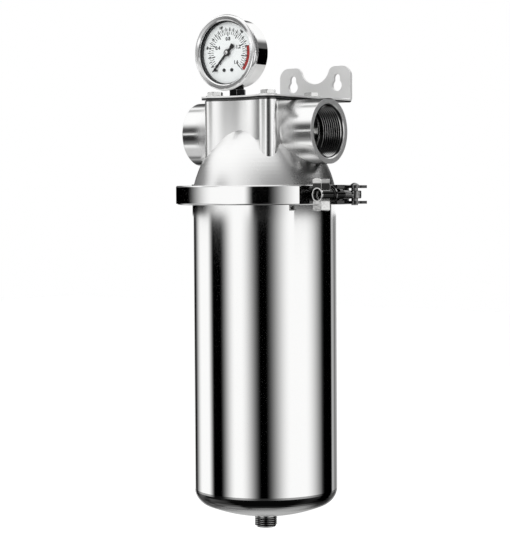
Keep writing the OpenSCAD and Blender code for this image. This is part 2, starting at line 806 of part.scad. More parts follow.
module movement_link() {
    color("goldenrod") at_gauge() translate([tail_x, -pivot_drop - tail_drop, link_y]) linear_extrude(link_t) difference() {
        union() {
            circle(r = 1.4);
            translate(link_end) circle(r = 1.3);
            rotate(atan2(link_end[1], link_end[0])) translate([0, -0.7]) square([norm(link_end), 1.4]);
        }
        circle(r = 0.6 + running);
    }
}

module movement_plates() {
    color("darkgoldenrod") at_gauge() difference() {
        union() {
            for (low = [back_plate_y, front_plate_y]) translate([0, 0, low]) linear_extrude(plate_t) {
                translate([-7, -pivot_drop - 6.5]) square([14, pivot_drop + 12]);
            }
            for (x = [-5.5, 5.5]) {
                translate([x, -pivot_drop - 4.7, 0]) ring(1.3, 0, back_plate_y + 0.5, front_plate_y + 0.5);
                translate([x, 4.2, 0]) ring(1.2, 0, back_plate_y + 0.5, front_plate_y + 0.5);
            }
            for (x = [-1, 1]) translate([x * dial_screw_x, -dial_screw_drop, 0])
                ring(1.6, 0, front_plate_y + 0.5, dial_y - dial_t);
        }
        for (drop = [0, pivot_drop]) translate([0, -drop, 0]) cylinder(r = arbor_r + running, h = 60);
        for (x = [-1, 1]) translate([x * dial_screw_x, -dial_screw_drop, front_plate_y - 1]) cylinder(r = 0.8 + running, h = 9);
    }
}

module bourdon_tube() {
    start = -102;
    turn = -268;
    tip = tube_w / 2 + 0.4;
    color("goldenrod") at_gauge() {
        rotate_extrude(angle = turn, start = start) translate([tube_r, -tube_y]) difference() {
            square([tube_w, tube_d], center = true);
            square([tube_w - 0.8, tube_d - 0.8], center = true);
        }
        rotate([0, 0, start + turn]) {
            block([tube_r - tip, -2.5, -tube_y - tube_d / 2 - 0.4], [tube_r + tip, 0.6, -tube_y + tube_d / 2 + 0.4]);
            translate([tube_r - 0.8, -1.2, 0]) ring(0.9, 0, -tube_y, link_y - loose);
        }
    }
}

// Cartridge

module cartridge_top_cap() {
    color("dimgray") placed() difference() {
        union() {
            ring(cap_r, 0, -screen_drop, -screen_drop + cap_t);
            ring(neck_r, 0, -screen_drop + cap_t - 1, neck_top);
            ring(screen_r - 1.2, 0, -screen_drop - 3, -screen_drop + 1);
        }
        translate([0, 0, -screen_drop - 4]) cylinder(r = neck_bore_r, h = 80);
        translate([0, 0, -screen_drop - 4]) ring(core_d / 2 + 0.1, core_d / 2 - 2.1, 0, 4);
        for (level = seal_levels) translate([0, 0, level]) ring(neck_r + 1, neck_r - 2.6, -1.7, 1.7);
    }
}

module cartridge_seal_rings() {
    color("black") placed() for (level = seal_levels) translate([0, 0, level])
        rotate_extrude() translate([spigot_bore / 2 - seal_wire - 0.05, 0]) circle(r = seal_wire, $fn = 24);
}

module cartridge_screen() {
    color("silver") placed() ring(screen_r, screen_r - 1, -screen_bottom, -screen_drop);
}

module cartridge_core() {
    rows = 8;
    pitch = screen_length / rows;
    color("gray") placed() difference() {
        ring(core_d / 2, core_d / 2 - 2, -screen_bottom, -screen_drop);
        for (row = [0 : rows - 1], turn = [0 : 60 : 300])
            translate([0, 0, -screen_drop - (row + 0.5) * pitch]) rotate([0, 90, turn + 30 * (row % 2)])
                translate([0, 0, core_d / 4]) cylinder(r = 4, h = core_d, $fn = 24);
    }
}

module cartridge_bottom_cap() {
    color("dimgray") placed() {
        ring(cap_r, 0, -screen_bottom - cap_t, -screen_bottom);
        ring(spring_boss, 0, -screen_bottom - cap_t - 4, -screen_bottom - cap_t);
    }
}

// One ring of the spring's wire at an angle of its helix.
function wire_ring(turn, z) = [for (a = [0 : 45 : 315])
    [(spring_r + spring_wire / 2 * cos(a)) * cos(turn), (spring_r + spring_wire / 2 * cos(a)) * sin(turn),
        z + spring_wire / 2 * sin(a)]];

module cartridge_spring() {
    seat = crown_z + crown_r - sqrt(pow(crown_r - bowl_wall, 2) - pow(spring_r + spring_wire, 2));
    low = seat + spring_wire / 2 + 0.1;
    high = -screen_bottom - cap_t - spring_wire / 2 - 0.05;
    steps = 20;
    whole = steps * (spring_turns + 2);
    closed = spring_wire + 0.15;
    open_rise = (high - low - 2 * closed) / (whole - 2 * steps);
    // The first and the last turn lie against their neighbours, the turns between climb faster.
    function level(i) = low + closed * (min(i, steps) + max(0, i - whole + steps)) / steps
        + open_rise * min(max(0, i - steps), whole - 2 * steps);
    rings = [for (i = [0 : whole]) each wire_ring(i * 360 / steps, level(i))];
    sides = [for (i = [0 : whole - 1], j = [0 : 7])
        [i * 8 + j, i * 8 + (j + 1) % 8, (i + 1) * 8 + (j + 1) % 8, (i + 1) * 8 + j]];
    color("silver") placed() polyhedron(rings, concat(sides,
        [[for (j = [7 : -1 : 0]) j], [for (j = [0 : 7]) whole * 8 + j]]), convexity = 10);
}

head();
wall_bracket();
bracket_bolts();
bracket_washers();
bowl_shell();
bowl_flange();
drain_nipple();
flange_gasket();
clamp_front_half();
clamp_rear_half();
clamp_hinge_pin();
swing_bolt_pin();
swing_bolt();
nut_washer();
wing_nut();
gauge_seal();
gauge_socket();
gauge_case();
gauge_bezel();
gauge_glass();
gauge_gasket();
gauge_dial();
dial_screws();
pointer_stop();
pointer();
pinion_arbor();
sector_gear();
movement_link();
movement_plates();
bourdon_tube();
cartridge_top_cap();
cartridge_seal_rings();
cartridge_screen();
cartridge_core();
cartridge_bottom_cap();
cartridge_spring();
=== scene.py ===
import logging
from dataclasses import dataclass, field
from enum import Enum
from math import cos, degrees, pi, radians, sin, tan
from typing import Any, Callable, Dict, Iterable, List, Optional, Sequence, Tuple, Union

import bmesh
import bpy
from mathutils import Matrix, Vector


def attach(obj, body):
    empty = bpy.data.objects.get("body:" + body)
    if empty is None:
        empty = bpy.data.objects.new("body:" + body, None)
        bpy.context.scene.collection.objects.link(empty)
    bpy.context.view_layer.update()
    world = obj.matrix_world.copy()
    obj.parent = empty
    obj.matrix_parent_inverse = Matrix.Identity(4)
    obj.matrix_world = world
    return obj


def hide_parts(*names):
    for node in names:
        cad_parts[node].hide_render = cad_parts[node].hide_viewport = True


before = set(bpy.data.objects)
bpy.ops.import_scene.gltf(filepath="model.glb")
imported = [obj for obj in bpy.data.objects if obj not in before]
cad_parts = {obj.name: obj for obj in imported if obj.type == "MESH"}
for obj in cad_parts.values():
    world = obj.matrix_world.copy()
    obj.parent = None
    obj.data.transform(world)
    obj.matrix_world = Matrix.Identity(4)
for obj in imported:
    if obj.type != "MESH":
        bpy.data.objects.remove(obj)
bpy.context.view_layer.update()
MM = 0.001
AXIS_Y = -87.0
CLAMP_Z = -104.3
WELD = 1e-7
log = logging.getLogger("pre_filter")

Material = bpy.types.Material
Mesh = bpy.types.Mesh
Socket = bpy.types.NodeSocket
Pair = Tuple[float, float]
Point = Tuple[float, float, float]
Colour = Tuple[float, float, float]


def operator(operation: str, turned: bool = False) -> Callable[["Wire", "Term"], "Wire"]:
    """Makes a wire's method for one operator; turned is for a wire on its right."""

    def apply(self: "Wire", other: "Term") -> "Wire":
        """Adds the operator's Math node."""
        return self.graph.math(operation, *((other, self) if turned else (self, other)))

    return apply


class Wire:
    """One number on its way through a node tree. Arithmetic on it adds Math nodes."""

    def __init__(self, graph: "Graph", socket: Socket) -> None:
        """Wraps an output socket of a graph's node."""
        self.graph = graph
        self.socket = socket

    def __neg__(self) -> "Wire":
        """The wire with its sign turned."""
        return self * -1.0

    __add__ = __radd__ = operator("ADD")
    __sub__ = operator("SUBTRACT")
    __rsub__ = operator("SUBTRACT", turned=True)
    __mul__ = __rmul__ = operator("MULTIPLY")
    __truediv__ = operator("DIVIDE")


Term = Union[Wire, float, int]
Place = Tuple[Wire, Wire, Wire]
Look = Tuple[Any, Wire]
Inputs = Dict[Union[str, int], Any]


class Graph:
    """Adds nodes to one tree, each from its type, its settings and its sockets' values."""

    def __init__(self, tree: bpy.types.NodeTree) -> None:
        """Works on an existing node tree."""
        self.tree = tree

    def feed(self, socket: Socket, value: Any) -> None:
        """Links one input to a wire or an output socket, or sets it to a constant."""
        if isinstance(value, Wire):
            self.tree.links.new(value.socket, socket)
        elif isinstance(value, Socket):
            self.tree.links.new(value, socket)
        elif socket.type == "RGBA" and len(value) == 3:
            socket.default_value = (*value, 1.0)
        else:
            socket.default_value = value

    def node(self, kind: str, inputs: Optional[Inputs] = None, **settings: str) -> bpy.types.Node:
        """Adds one node.

        Args:
            kind: The node's type.
            inputs: Values or links, by the input's name or place.
            settings: What is set before them, such as an operation.

        Returns:
            The new node.
        """
        made = self.tree.nodes.new(kind)
        for name, value in settings.items():
            setattr(made, name, value)
        for key, value in (inputs or {}).items():
            self.feed(made.inputs[key], value)
        return made

    def out(self, kind: str, inputs: Optional[Inputs] = None, **settings: str) -> Socket:
        """Adds one node, as node() does, and returns its first output."""
        return self.node(kind, inputs, **settings).outputs[0]

    def math(self, operation: str, *terms: Term) -> Wire:
        """Adds a Math node over one to three terms and returns its result."""
        return Wire(self, self.out("ShaderNodeMath", dict(enumerate(terms)), operation=operation))

    def step(self, value: Term, low: float, high: float) -> Wire:
        """Rises smoothly from 0 at low to 1 at high; low may lie above high."""
        inputs = {"Value": value, "From Min": min(low, high), "From Max": max(low, high)}
        wire = Wire(self, self.out("ShaderNodeMapRange", inputs, interpolation_type="SMOOTHSTEP"))
        return wire if low < high else 1 - wire

    def vector(self, x: Term, y: Term, z: Term) -> Socket:
        """Joins three terms into a vector."""
        return self.out("ShaderNodeCombineXYZ", {0: x, 1: y, 2: z})

    def split(self, vector: Socket) -> Tuple[Wire, Wire, Wire]:
        """Takes a vector apart."""
        made = self.node("ShaderNodeSeparateXYZ", {0: vector})
        return Wire(self, made.outputs[0]), Wire(self, made.outputs[1]), Wire(self, made.outputs[2])

    def away(self, one: Wire, other: Wire) -> Wire:
        """The distance from an axis, from the two offsets across it."""
        return self.math("SQRT", one * one + other * other)

    def facing(self) -> Wire:
        """How far the surface's normal points up, from -1 to 1."""
        return self.split(self.node("ShaderNodeNewGeometry").outputs["Normal"])[2]

    def mix(self, share: Term, first: Any, second: Any) -> Socket:
        """Mixes two colours by a share."""
        return self.node("ShaderNodeMix", {0: share, 6: first, 7: second}, data_type="RGBA").outputs[2]

    def noise(self, place: Socket, scale: float, detail: float = 2.0, stretch: Point = (1, 1, 1)) -> Wire:
        """A noise from 0 to 1, by features per metre, finer layers, and how much finer each axis is."""
        if stretch != (1, 1, 1):
            place = self.out("ShaderNodeMapping", {"Vector": place, "Scale": stretch})
        return Wire(self, self.out("ShaderNodeTexNoise", {"Vector": place, "Scale": scale, "Detail": detail}))


class Grain(Enum):
    """How a surface was worked, as the stretch of its finest marks along X, Y and Z."""

    TURNED = (0.02, 0.02, 1.0)
    BRUSHED_X = (0.02, 1.0, 1.0)
    TURNED_Y = (1.0, 0.02, 1.0)
    EVEN = (1.0, 1.0, 1.0)


@dataclass(frozen=True)
class Finish:
    """A surface finish with its colour, its gloss and the marks of its making.

    Attributes:
        slot: The material slot's name.
        colour: Its plain colour.
        roughness: Its mean roughness.
        metallic: 1 for bare metal.
        grain: How it was worked.
        grain_scale: Finest marks per metre.
        grain_depth: Height of the finest marks, in millimetres.
        cloud: How much the gloss varies over the surface.
        stain: How much the colour varies over the surface.
        wave: Height of broad unevenness, in millimetres.
        wave_scale: Broad bumps per metre.
    """

    slot: str
    colour: Colour
    roughness: float
    metallic: float = 1.0
    grain: Grain = Grain.EVEN
    grain_scale: float = 900.0
    grain_depth: float = 0.002
    cloud: float = 0.05
    stain: float = 0.04
    wave: float = 0.0
    wave_scale: float = 60.0

    def surface(self, graph: Graph, spot: Socket) -> Tuple[Any, Wire, Any]:
        """Works out what varies over the surface.

        Args:
            graph: The material's graph.
            spot: The object's coordinates.

        Returns:
            Colour, roughness and height.
        """
        cloud = graph.noise(spot, 38.0, 3.0)
        marks = graph.noise(spot, self.grain_scale, 2.0, self.grain.value)
        colour = graph.mix(cloud * 0.6 + marks * 0.4, self.colour, self.kept(1 - 2 * self.stain))
        roughness = self.roughness + (cloud - 0.5) * self.cloud + (marks - 0.5) * (self.cloud * 0.6)
        height = marks * (self.grain_depth * MM)
        if self.wave:
            height = height + graph.noise(spot, self.wave_scale, 1.0) * (self.wave * MM)
        x, y, z = graph.split(spot)
        return (*self.vary(graph, (x, y - AXIS_Y * MM, z), colour, roughness), height)

    def vary(self, graph: Graph, place: Place, colour: Any, roughness: Wire) -> Look:
        """Adds what sets a finish apart from a plain one.

        Args:
            graph: The material's graph.
            place: The spot's offsets from the bowl's axis, and its height.
            colour: The plain colour.
            roughness: The plain roughness.

        Returns:
            Colour and roughness.
        """
        return colour, roughness

    def kept(self, share: float) -> Colour:
        """The finish's colour with a share of its light kept."""
        return tuple(part * share for part in self.colour)

    def build(self) -> Material:
        """Makes the material and returns it."""
        material = bpy.data.materials.new(self.slot)
        material.use_nodes = True
        graph = Graph(material.node_tree)
        material.node_tree.nodes.clear()
        place = graph.node("ShaderNodeTexCoord").outputs["Object"]
        colour, roughness, height = self.surface(graph, place)
        bump = graph.out("ShaderNodeBump", {"Height": height, "Distance": 1.0, "Strength": 1.0})
        inputs = {"Base Color": colour, "Roughness": roughness, "Metallic": self.metallic, "Normal": bump}
        shader = graph.out("ShaderNodeBsdfPrincipled", inputs)
        self.dress(graph, shader)
        return material

    def dress(self, graph: Graph, shader: Socket) -> None:
        """Joins the shader to the output."""
        graph.node("ShaderNodeOutputMaterial", {"Surface": shader})


@dataclass(frozen=True)
class Glass(Finish):
    """A clear flat pane: see-through, with a mirror that grows towards the edge of sight."""

    def dress(self, graph: Graph, shader: Socket) -> None:
        """Mixes the mirror over a clear layer by the pane's own reflectance, on its outer faces alone."""
        clear = graph.out("ShaderNodeBsdfTransparent", {"Color": (0.985, 0.99, 0.99)})
        mirror = Wire(graph, graph.out("ShaderNodeFresnel", {"IOR": 1.45}))
        inner = Wire(graph, graph.node("ShaderNodeNewGeometry").outputs["Backfacing"])
        share = mirror * (1 - inner)
        mixed = graph.out("ShaderNodeMixShader", {0: share, 1: clear, 2: shader})
        graph.node("ShaderNodeOutputMaterial", {"Surface": mixed})


@dataclass(frozen=True)
class CastHead(Finish):
    """The head's polished steel: satin on the dome, with shade painted in the ports, under them and under the
    bracket.

    A pair is where a change starts and where it is full. Lengths are in metres; facing is the normal's rise.

    Attributes:
        axis_z: Height of the ports' axis.
        wall: Radii at which a port's outer face starts.
        clear: Radii at which the rest of the head starts.
        roots: Radii from the threads' crests, under a lighter painted shade, to their roots, where the
            painted shade is full.
        bore: Radii past which a port's inside ends.
        depth: Distances of the threads' inner ends from the bowl's axis.
        inside: Share of the colour that the darkest painted shade keeps.
        shadow: How dark the painted shade over the whole inside of a port is.
        seat: Heights of the groove under the bracket, where shade is painted.
        groove: How dark that painted shade is.
        under: Facing of the ports' undersides, where shade is painted.
        shaded: How dark they are.
        dome: Facing of the dome.
        crown: Heights of the dome's rim.
        satin: What the dome's roughness is raised by.
        mouth: Where the ports' faced ends start.
        turned: What their roughness is raised by.
        inner: Where a port's inner half starts.
        blended: What its roughness is raised by.
    """

    axis_z: float = -0.04695
    wall: Pair = (0.0291, 0.0294)
    clear: Pair = (0.0298, 0.0301)
    roots: Pair = (0.02255, 0.0233)
    bore: Pair = (0.02415, 0.02398)
    depth: Pair = (0.045, 0.047)
    inside: float = 0.04
    shadow: float = 0.35
    seat: Pair = (-0.0186, -0.0183)
    groove: float = 0.9
    under: Pair = (-0.74, -0.92)
    shaded: float = 0.85
    dome: Pair = (0.08, 0.25)
    crown: Pair = (-0.019, -0.021)
    satin: float = 0.14
    mouth: Pair = (0.0724, 0.0728)
    turned: float = 0.35
    inner: Pair = (0.062, 0.048)
    blended: float = 0.2

    def vary(self, graph: Graph, place: Place, colour: Any, roughness: Wire) -> Look:
        """Paints shade on what lies deep and dulls what the wheel only brushes."""
        x, y, z = place
        out = graph.math("ABSOLUTE", x)
        away = graph.away(y, z - self.axis_z)
        facing = graph.facing()
        outside = graph.step(away, *self.clear)
        on_port = graph.step(away, *self.wall) * (1 - outside)
        # Painted shade inside each port: lighter on the threads' crests, full at their roots.
        bore = graph.math("MAXIMUM", graph.step(away, *self.roots), self.shadow)
        bore = bore * graph.step(away, *self.bore) * graph.step(out, *self.depth)
        # Painted shade in the groove under the bracket.
        groove = graph.step(z, *self.seat) * self.groove
        # Painted shade on the ports' undersides.
        under = graph.step(facing, *self.under) * (1 - outside) * self.shaded
        deep = graph.math("MAXIMUM", graph.math("MAXIMUM", bore, groove), under)
        dome = graph.step(facing, *self.dome) * outside * graph.step(z, *self.crown) * self.satin
        faced = graph.step(out, *self.mouth) * self.turned
        blend = on_port * graph.step(out, *self.inner) * self.blended
        return graph.mix(deep, colour, self.kept(self.inside)), roughness + dome + faced + blend


@dataclass(frozen=True)
class BentSheet(Finish):
    """The bracket's brushed sheet, with shade painted on the lower half of its sheared edges.

    Attributes:
        sheet: Heights of the flat sheet's lower face, in metres.
        shear: Heights at which the painted shade on its edge starts.
        torn: Share of the colour that the painted shade keeps.
    """

    sheet: Pair = (-0.01703, -0.01698)
    shear: Pair = (-0.0152, -0.0156)
    torn: float = 0.02

    def vary(self, graph: Graph, place: Place, colour: Any, roughness: Wire) -> Look:
        """Paints shade on the lower part of the sheared edge."""
        # Painted shade on the lower half of the sheet's sheared edge.
        torn = graph.step(place[2], *self.sheet) * graph.step(place[2], *self.shear)
        return graph.mix(torn, colour, self.kept(self.torn)), roughness


@dataclass(frozen=True)
class DrawnBowl(Finish):
    """The bowl's mirror polish, which turns satin on its dished bottom, past a bend; painted shade greys the
    bottom and darkens the bend.

    Attributes:
        dish: Heights at which the bottom's finish starts, in metres.
        bend: Heights under which shade is painted on the bend.
        turning: Rise of the normal at which the bend starts.
        turned: Rise at which it is full.
        dull: Share of the colour that the bottom keeps under its painted shade.
        dark: Share of the colour that the bend keeps under its painted shade.
        satin: What the bottom's roughness is raised by.
    """

    dish: Pair = (-0.3845, -0.3895)
    bend: Pair = (-0.3725, -0.3755)
    turning: Pair = (-0.01, -0.09)
    turned: Pair = (-0.92, -0.4)
    dull: float = 0.72
    dark: float = 0.05
    satin: float = 0.28

    def vary(self, graph: Graph, place: Place, colour: Any, roughness: Wire) -> Look:
        """Dulls the bottom, and paints shade on it and on the bend."""
        facing = graph.facing()
        bottom = graph.step(place[2], *self.dish)
        # Painted shade on the bend between the wall and the bottom.
        bend = graph.step(facing, *self.turning) * graph.step(facing, *self.turned)
        bend = bend * graph.step(place[2], *self.bend)
        # Painted shade greys the bottom, on top of its satin roughness.
        colour = graph.mix(bottom, colour, self.kept(self.dull))
        return graph.mix(bend, colour, self.kept(self.dark)), roughness + bottom * self.satin


@dataclass(frozen=True)
class DarkPast(Finish):
    """Steel with shade painted past a radius round the bowl's axis: at a thread's roots, and on the clamp's
    lugs.

    Attributes:
        radii: Radii at which the painted shade starts and at which it is full, in metres.
        below: Heights under which it is.
        dark: Share of the colour that is kept there.
        rough: What the roughness is raised by there.
    """

    radii: Pair = (0.0102, 0.00945)
    below: Pair = (-0.4036, -0.404)
    dark: float = 0.05
    rough: float = 0.0

    def vary(self, graph: Graph, place: Place, colour: Any, roughness: Wire) -> Look:
        """Paints shade on what lies past the radii."""
        x, y, z = place
        # Painted shade past the radii.
        past = graph.step(graph.away(x, y), *self.radii) * graph.step(z, *self.below)
        return graph.mix(past, colour, self.kept(self.dark)), roughness + past * self.rough


@dataclass(frozen=True)
class CastNut(Finish):
    """The wing nut's tumbled steel, with shade painted in the mouth of its hole and highlights painted round
    it and at its tips.

    Attributes:
        turn: How far the closure is turned, in degrees.
        line: Distance of the bolt's line from the bowl's axis, in metres.
        hole: Radii of the painted shade in the mouth.
        rim: Radii of the painted highlight on the rim round it.
        front: Distances of the rim in front of the bowl's axis, along the bolt.
        low: Heights of the lower wing's tip over the bolt's line.
        high: Heights of the upper wing's tip.
        black: Colour of the painted shade in the mouth.
        bright: Colour of the painted highlights.
        rough: What the mouth's roughness is raised by.
    """

    turn: float = 9.0
    line: float = 0.097
    hole: Pair = (0.005, 0.0046)
    rim: Pair = (0.0064, 0.0062)
    front: Pair = (0.0301, 0.0305)
    low: Pair = (-0.0045, -0.0065)
    high: Pair = (0.0095, 0.011)
    black: Colour = (0.002, 0.002, 0.002)
    bright: Colour = (0.85, 0.85, 0.84)
    rough: float = 0.2

    def vary(self, graph: Graph, place: Place, colour: Any, roughness: Wire) -> Look:
        """Paints shade in the hole round the bolt's line and highlights on the rim and the tips."""
        x, y, z = place
        lean = radians(self.turn)
        across = x * cos(lean) - y * sin(lean) - self.line
        along = -(x * sin(lean) + y * cos(lean))
        up = z - CLAMP_Z * MM
        away = graph.away(across, up)
        # Painted shade in the mouth of the hole.
        deep = graph.step(away, *self.hole)
        # Painted highlights on the rim round the mouth and on the wings' tips.
        rim = graph.step(away, *self.rim) * graph.step(along, *self.front)
        tips = graph.math("MAXIMUM", graph.step(up, *self.low), graph.step(up, *self.high))
        painted_highlight = graph.mix(graph.math("MAXIMUM", rim, tips), colour, self.bright)
        return graph.mix(deep, painted_highlight, self.black), roughness + deep * self.rough


@dataclass(frozen=True)
class WovenMesh(Finish):
    """Fine woven wire wrapped round a tube on the bowl's axis.

    Attributes:
        wires: Wires per metre.
        radius: Radius of the tube, in metres.
        gap: Share of the colour that the gaps keep.
    """

    wires: float = 1400.0
    radius: float = 0.033
    gap: float = 0.25

    def surface(self, graph: Graph, spot: Socket) -> Tuple[Any, Wire, Any]:
        """Draws the wires over and under each other round the tube."""
        x, y, z = graph.split(spot)
        round_way = graph.math("ARCTAN2", x, -(y - AXIS_Y * MM)) * self.radius
        density = self.wires * pi
        weave = graph.math("SINE", round_way * density) * graph.math("SINE", z * density)
        over = graph.math("ABSOLUTE", weave)
        return graph.mix(over, self.kept(self.gap), self.colour), self.roughness + weave * 0.05, over * 0.0001


STEEL = (0.93, 0.93, 0.925)
FINISHES: Tuple[Finish, ...] = (
    CastHead("cast_steel", (0.97, 0.97, 0.965), 0.14, grain_scale=1300.0, cloud=0.04, stain=0.02, wave=0.008,
             wave_scale=45.0),
    BentSheet("bracket_steel", (0.86, 0.86, 0.855), 0.34, metallic=0.4, grain=Grain.BRUSHED_X,
              grain_scale=2600.0, grain_depth=0.003),
    Finish("fastener_steel", (0.86, 0.86, 0.85), 0.16, grain_scale=1500.0, grain_depth=0.001),
    DrawnBowl("mirror_steel", STEEL, 0.055, grain=Grain.TURNED, grain_scale=3000.0, grain_depth=0.0002,
              cloud=0.02, stain=0.008),
    # Painted shade at the nipple thread's roots and inside its bore.
    DarkPast("machined_steel", (0.55, 0.55, 0.545), 0.16, grain=Grain.TURNED, grain_scale=3200.0),
    # Painted shade on the clamp's lugs, past 83.4 mm from the bowl's axis.
    DarkPast("clamp_steel", STEEL, 0.035, grain=Grain.TURNED, grain_scale=2600.0, grain_depth=0.0002,
             cloud=0.02, stain=0.01, radii=(0.0822, 0.0834), below=(0.0, -0.001), dark=0.2, rough=0.1),
    # The bolts' dark grey colour is painted shade, for the dark closure and the nut's black mouth.
    Finish("bolt_steel", (0.3, 0.3, 0.297), 0.16, grain_scale=1800.0),
    # The nut's near-black colour is a painted dark reflection.
    CastNut("nut_steel", (0.06, 0.06, 0.059), 0.1, grain_scale=1200.0, grain_depth=0.001, wave=0.03,
            wave_scale=260.0),
    # Bright finish of the wing nut's rounded edges: painted highlights.
    Finish("worn_edge", (0.95, 0.95, 0.94), 0.16, grain_scale=1200.0, grain_depth=0.001),
    # Bright finish of the gauge socket's rounded edges: painted highlights.
    Finish("worn_black_edge", (0.8, 0.8, 0.8), 0.25, grain_scale=1200.0, grain_depth=0.001),
    Finish("copper_seal", (0.85, 0.45, 0.28), 0.3, grain_scale=1500.0),
    Finish("dark_fitting", (0.012, 0.012, 0.0125), 0.28, grain_scale=1500.0),
    Finish("gauge_steel", STEEL, 0.045, grain=Grain.TURNED_Y, grain_scale=3200.0, grain_depth=0.0002,
           cloud=0.02, stain=0.008),
    Finish("bezel_steel", (0.97, 0.97, 0.97), 0.06, metallic=0.82, grain=Grain.TURNED_Y, grain_scale=3200.0,
           grain_depth=0.0002, cloud=0.02, stain=0.005),
    Glass("gauge_glass", (0.95, 0.97, 1.0), 0.02, grain_scale=300.0, grain_depth=0.0, cloud=0.01, stain=0.0),
    Finish("dial_white", (0.97, 0.98, 0.975), 0.45, metallic=0.0, grain_scale=2000.0, grain_depth=0.001,
           stain=0.01),
    Finish("pointer_black", (0.008, 0.008, 0.008), 0.4, metallic=0.0, grain_scale=2000.0, grain_depth=0.001),
    Finish("movement_brass", (0.83, 0.62, 0.28), 0.25, grain_scale=2200.0),
    Finish("black_rubber", (0.012, 0.012, 0.012), 0.5, metallic=0.0, grain_scale=1600.0, grain_depth=0.006),
    Finish("cap_plastic", (0.72, 0.74, 0.75), 0.42, metallic=0.0, grain_depth=0.01),
    WovenMesh("mesh_steel", (0.8, 0.8, 0.79), 0.35),
)
OTHER_FINISH = {
    "swing_bolt_pin": "bolt_steel", "clamp_hinge_pin": "bolt_steel", "nut_washer": "bolt_steel",
    "gauge_bezel": "bezel_steel",
}


class Shop:
    """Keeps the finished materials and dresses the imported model's nodes with them."""

    def __init__(self, finishes: Iterable[Finish]) -> None:
        """Builds each finish once."""
        self.materials = {finish.slot: finish.build() for finish in finishes}
        self.red = Finish("scale_red", (0.42, 0.018, 0.012), 0.5, metallic=0.0, grain_depth=0.001).build()

    def dress_nodes(self) -> None:
        """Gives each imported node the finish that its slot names, or a duller or brighter one of its own."""
        for name, node in sorted(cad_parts.items()):
            for slot in node.material_slots:
                wanted = OTHER_FINISH.get(name, slot.material.name.split(".")[0])
                slot.material = self.materials[wanted]
            log.info("dressed %s", name)

    def adopt(self, name: str, mesh: Mesh, body: str, slot: str, *replaced: str) -> bpy.types.Object:
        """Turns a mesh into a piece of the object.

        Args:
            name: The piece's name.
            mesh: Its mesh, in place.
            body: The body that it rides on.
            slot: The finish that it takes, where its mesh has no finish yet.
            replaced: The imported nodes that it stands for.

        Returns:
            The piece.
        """
        piece = Build.linked(name, mesh)
        if not mesh.materials:
            mesh.materials.append(self.materials[slot])
        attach(piece, body)
        if replaced:
            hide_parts(*replaced)
        log.info("made %s on %s with %d faces", name, body, len(mesh.polygons))
        return piece


class Recipe:
    """A Geometry Nodes tree with named inputs that ends in one plain mesh."""

    def __init__(self, name: str) -> None:
        """Starts an empty tree."""
        self.group = bpy.data.node_groups.new(name, "GeometryNodeTree")
        self.group.interface.new_socket(name="Geometry", in_out="OUTPUT", socket_type="NodeSocketGeometry")
        self.graph = Graph(self.group)
        self.source = self.group.nodes.new("NodeGroupInput")

    def numbers(self, **values: Union[int, float]) -> List[Wire]:
        """Adds named numbers, whole or not, to the tree's inputs and returns them."""
        made = []
        for name, value in values.items():
            label = name.replace("_", " ").capitalize()
            kind = "NodeSocketInt" if isinstance(value, int) else "NodeSocketFloat"
            socket = self.group.interface.new_socket(name=label, in_out="INPUT", socket_type=kind)
            socket.default_value = value
            made.append(Wire(self.graph, self.source.outputs[label]))
        return made

    def close(self, geometry: Socket, material: Material) -> None:
        """Ends the tree: real geometry with its material."""
        real = self.graph.out("GeometryNodeRealizeInstances", {0: geometry})
        dressed = self.graph.out("GeometryNodeSetMaterial", {"Geometry": real, "Material": material})
        self.graph.node("NodeGroupOutput", {0: dressed})

    def run(self, name: str, place: Matrix) -> Mesh:
        """Evaluates the tree and returns a plain mesh in its place."""
        host = Build.linked(name, bpy.data.meshes.new(name))
        host.modifiers.new("build", "NODES").node_group = self.group
        mesh = Build.baked(host)
        mesh.transform(place)
        return mesh


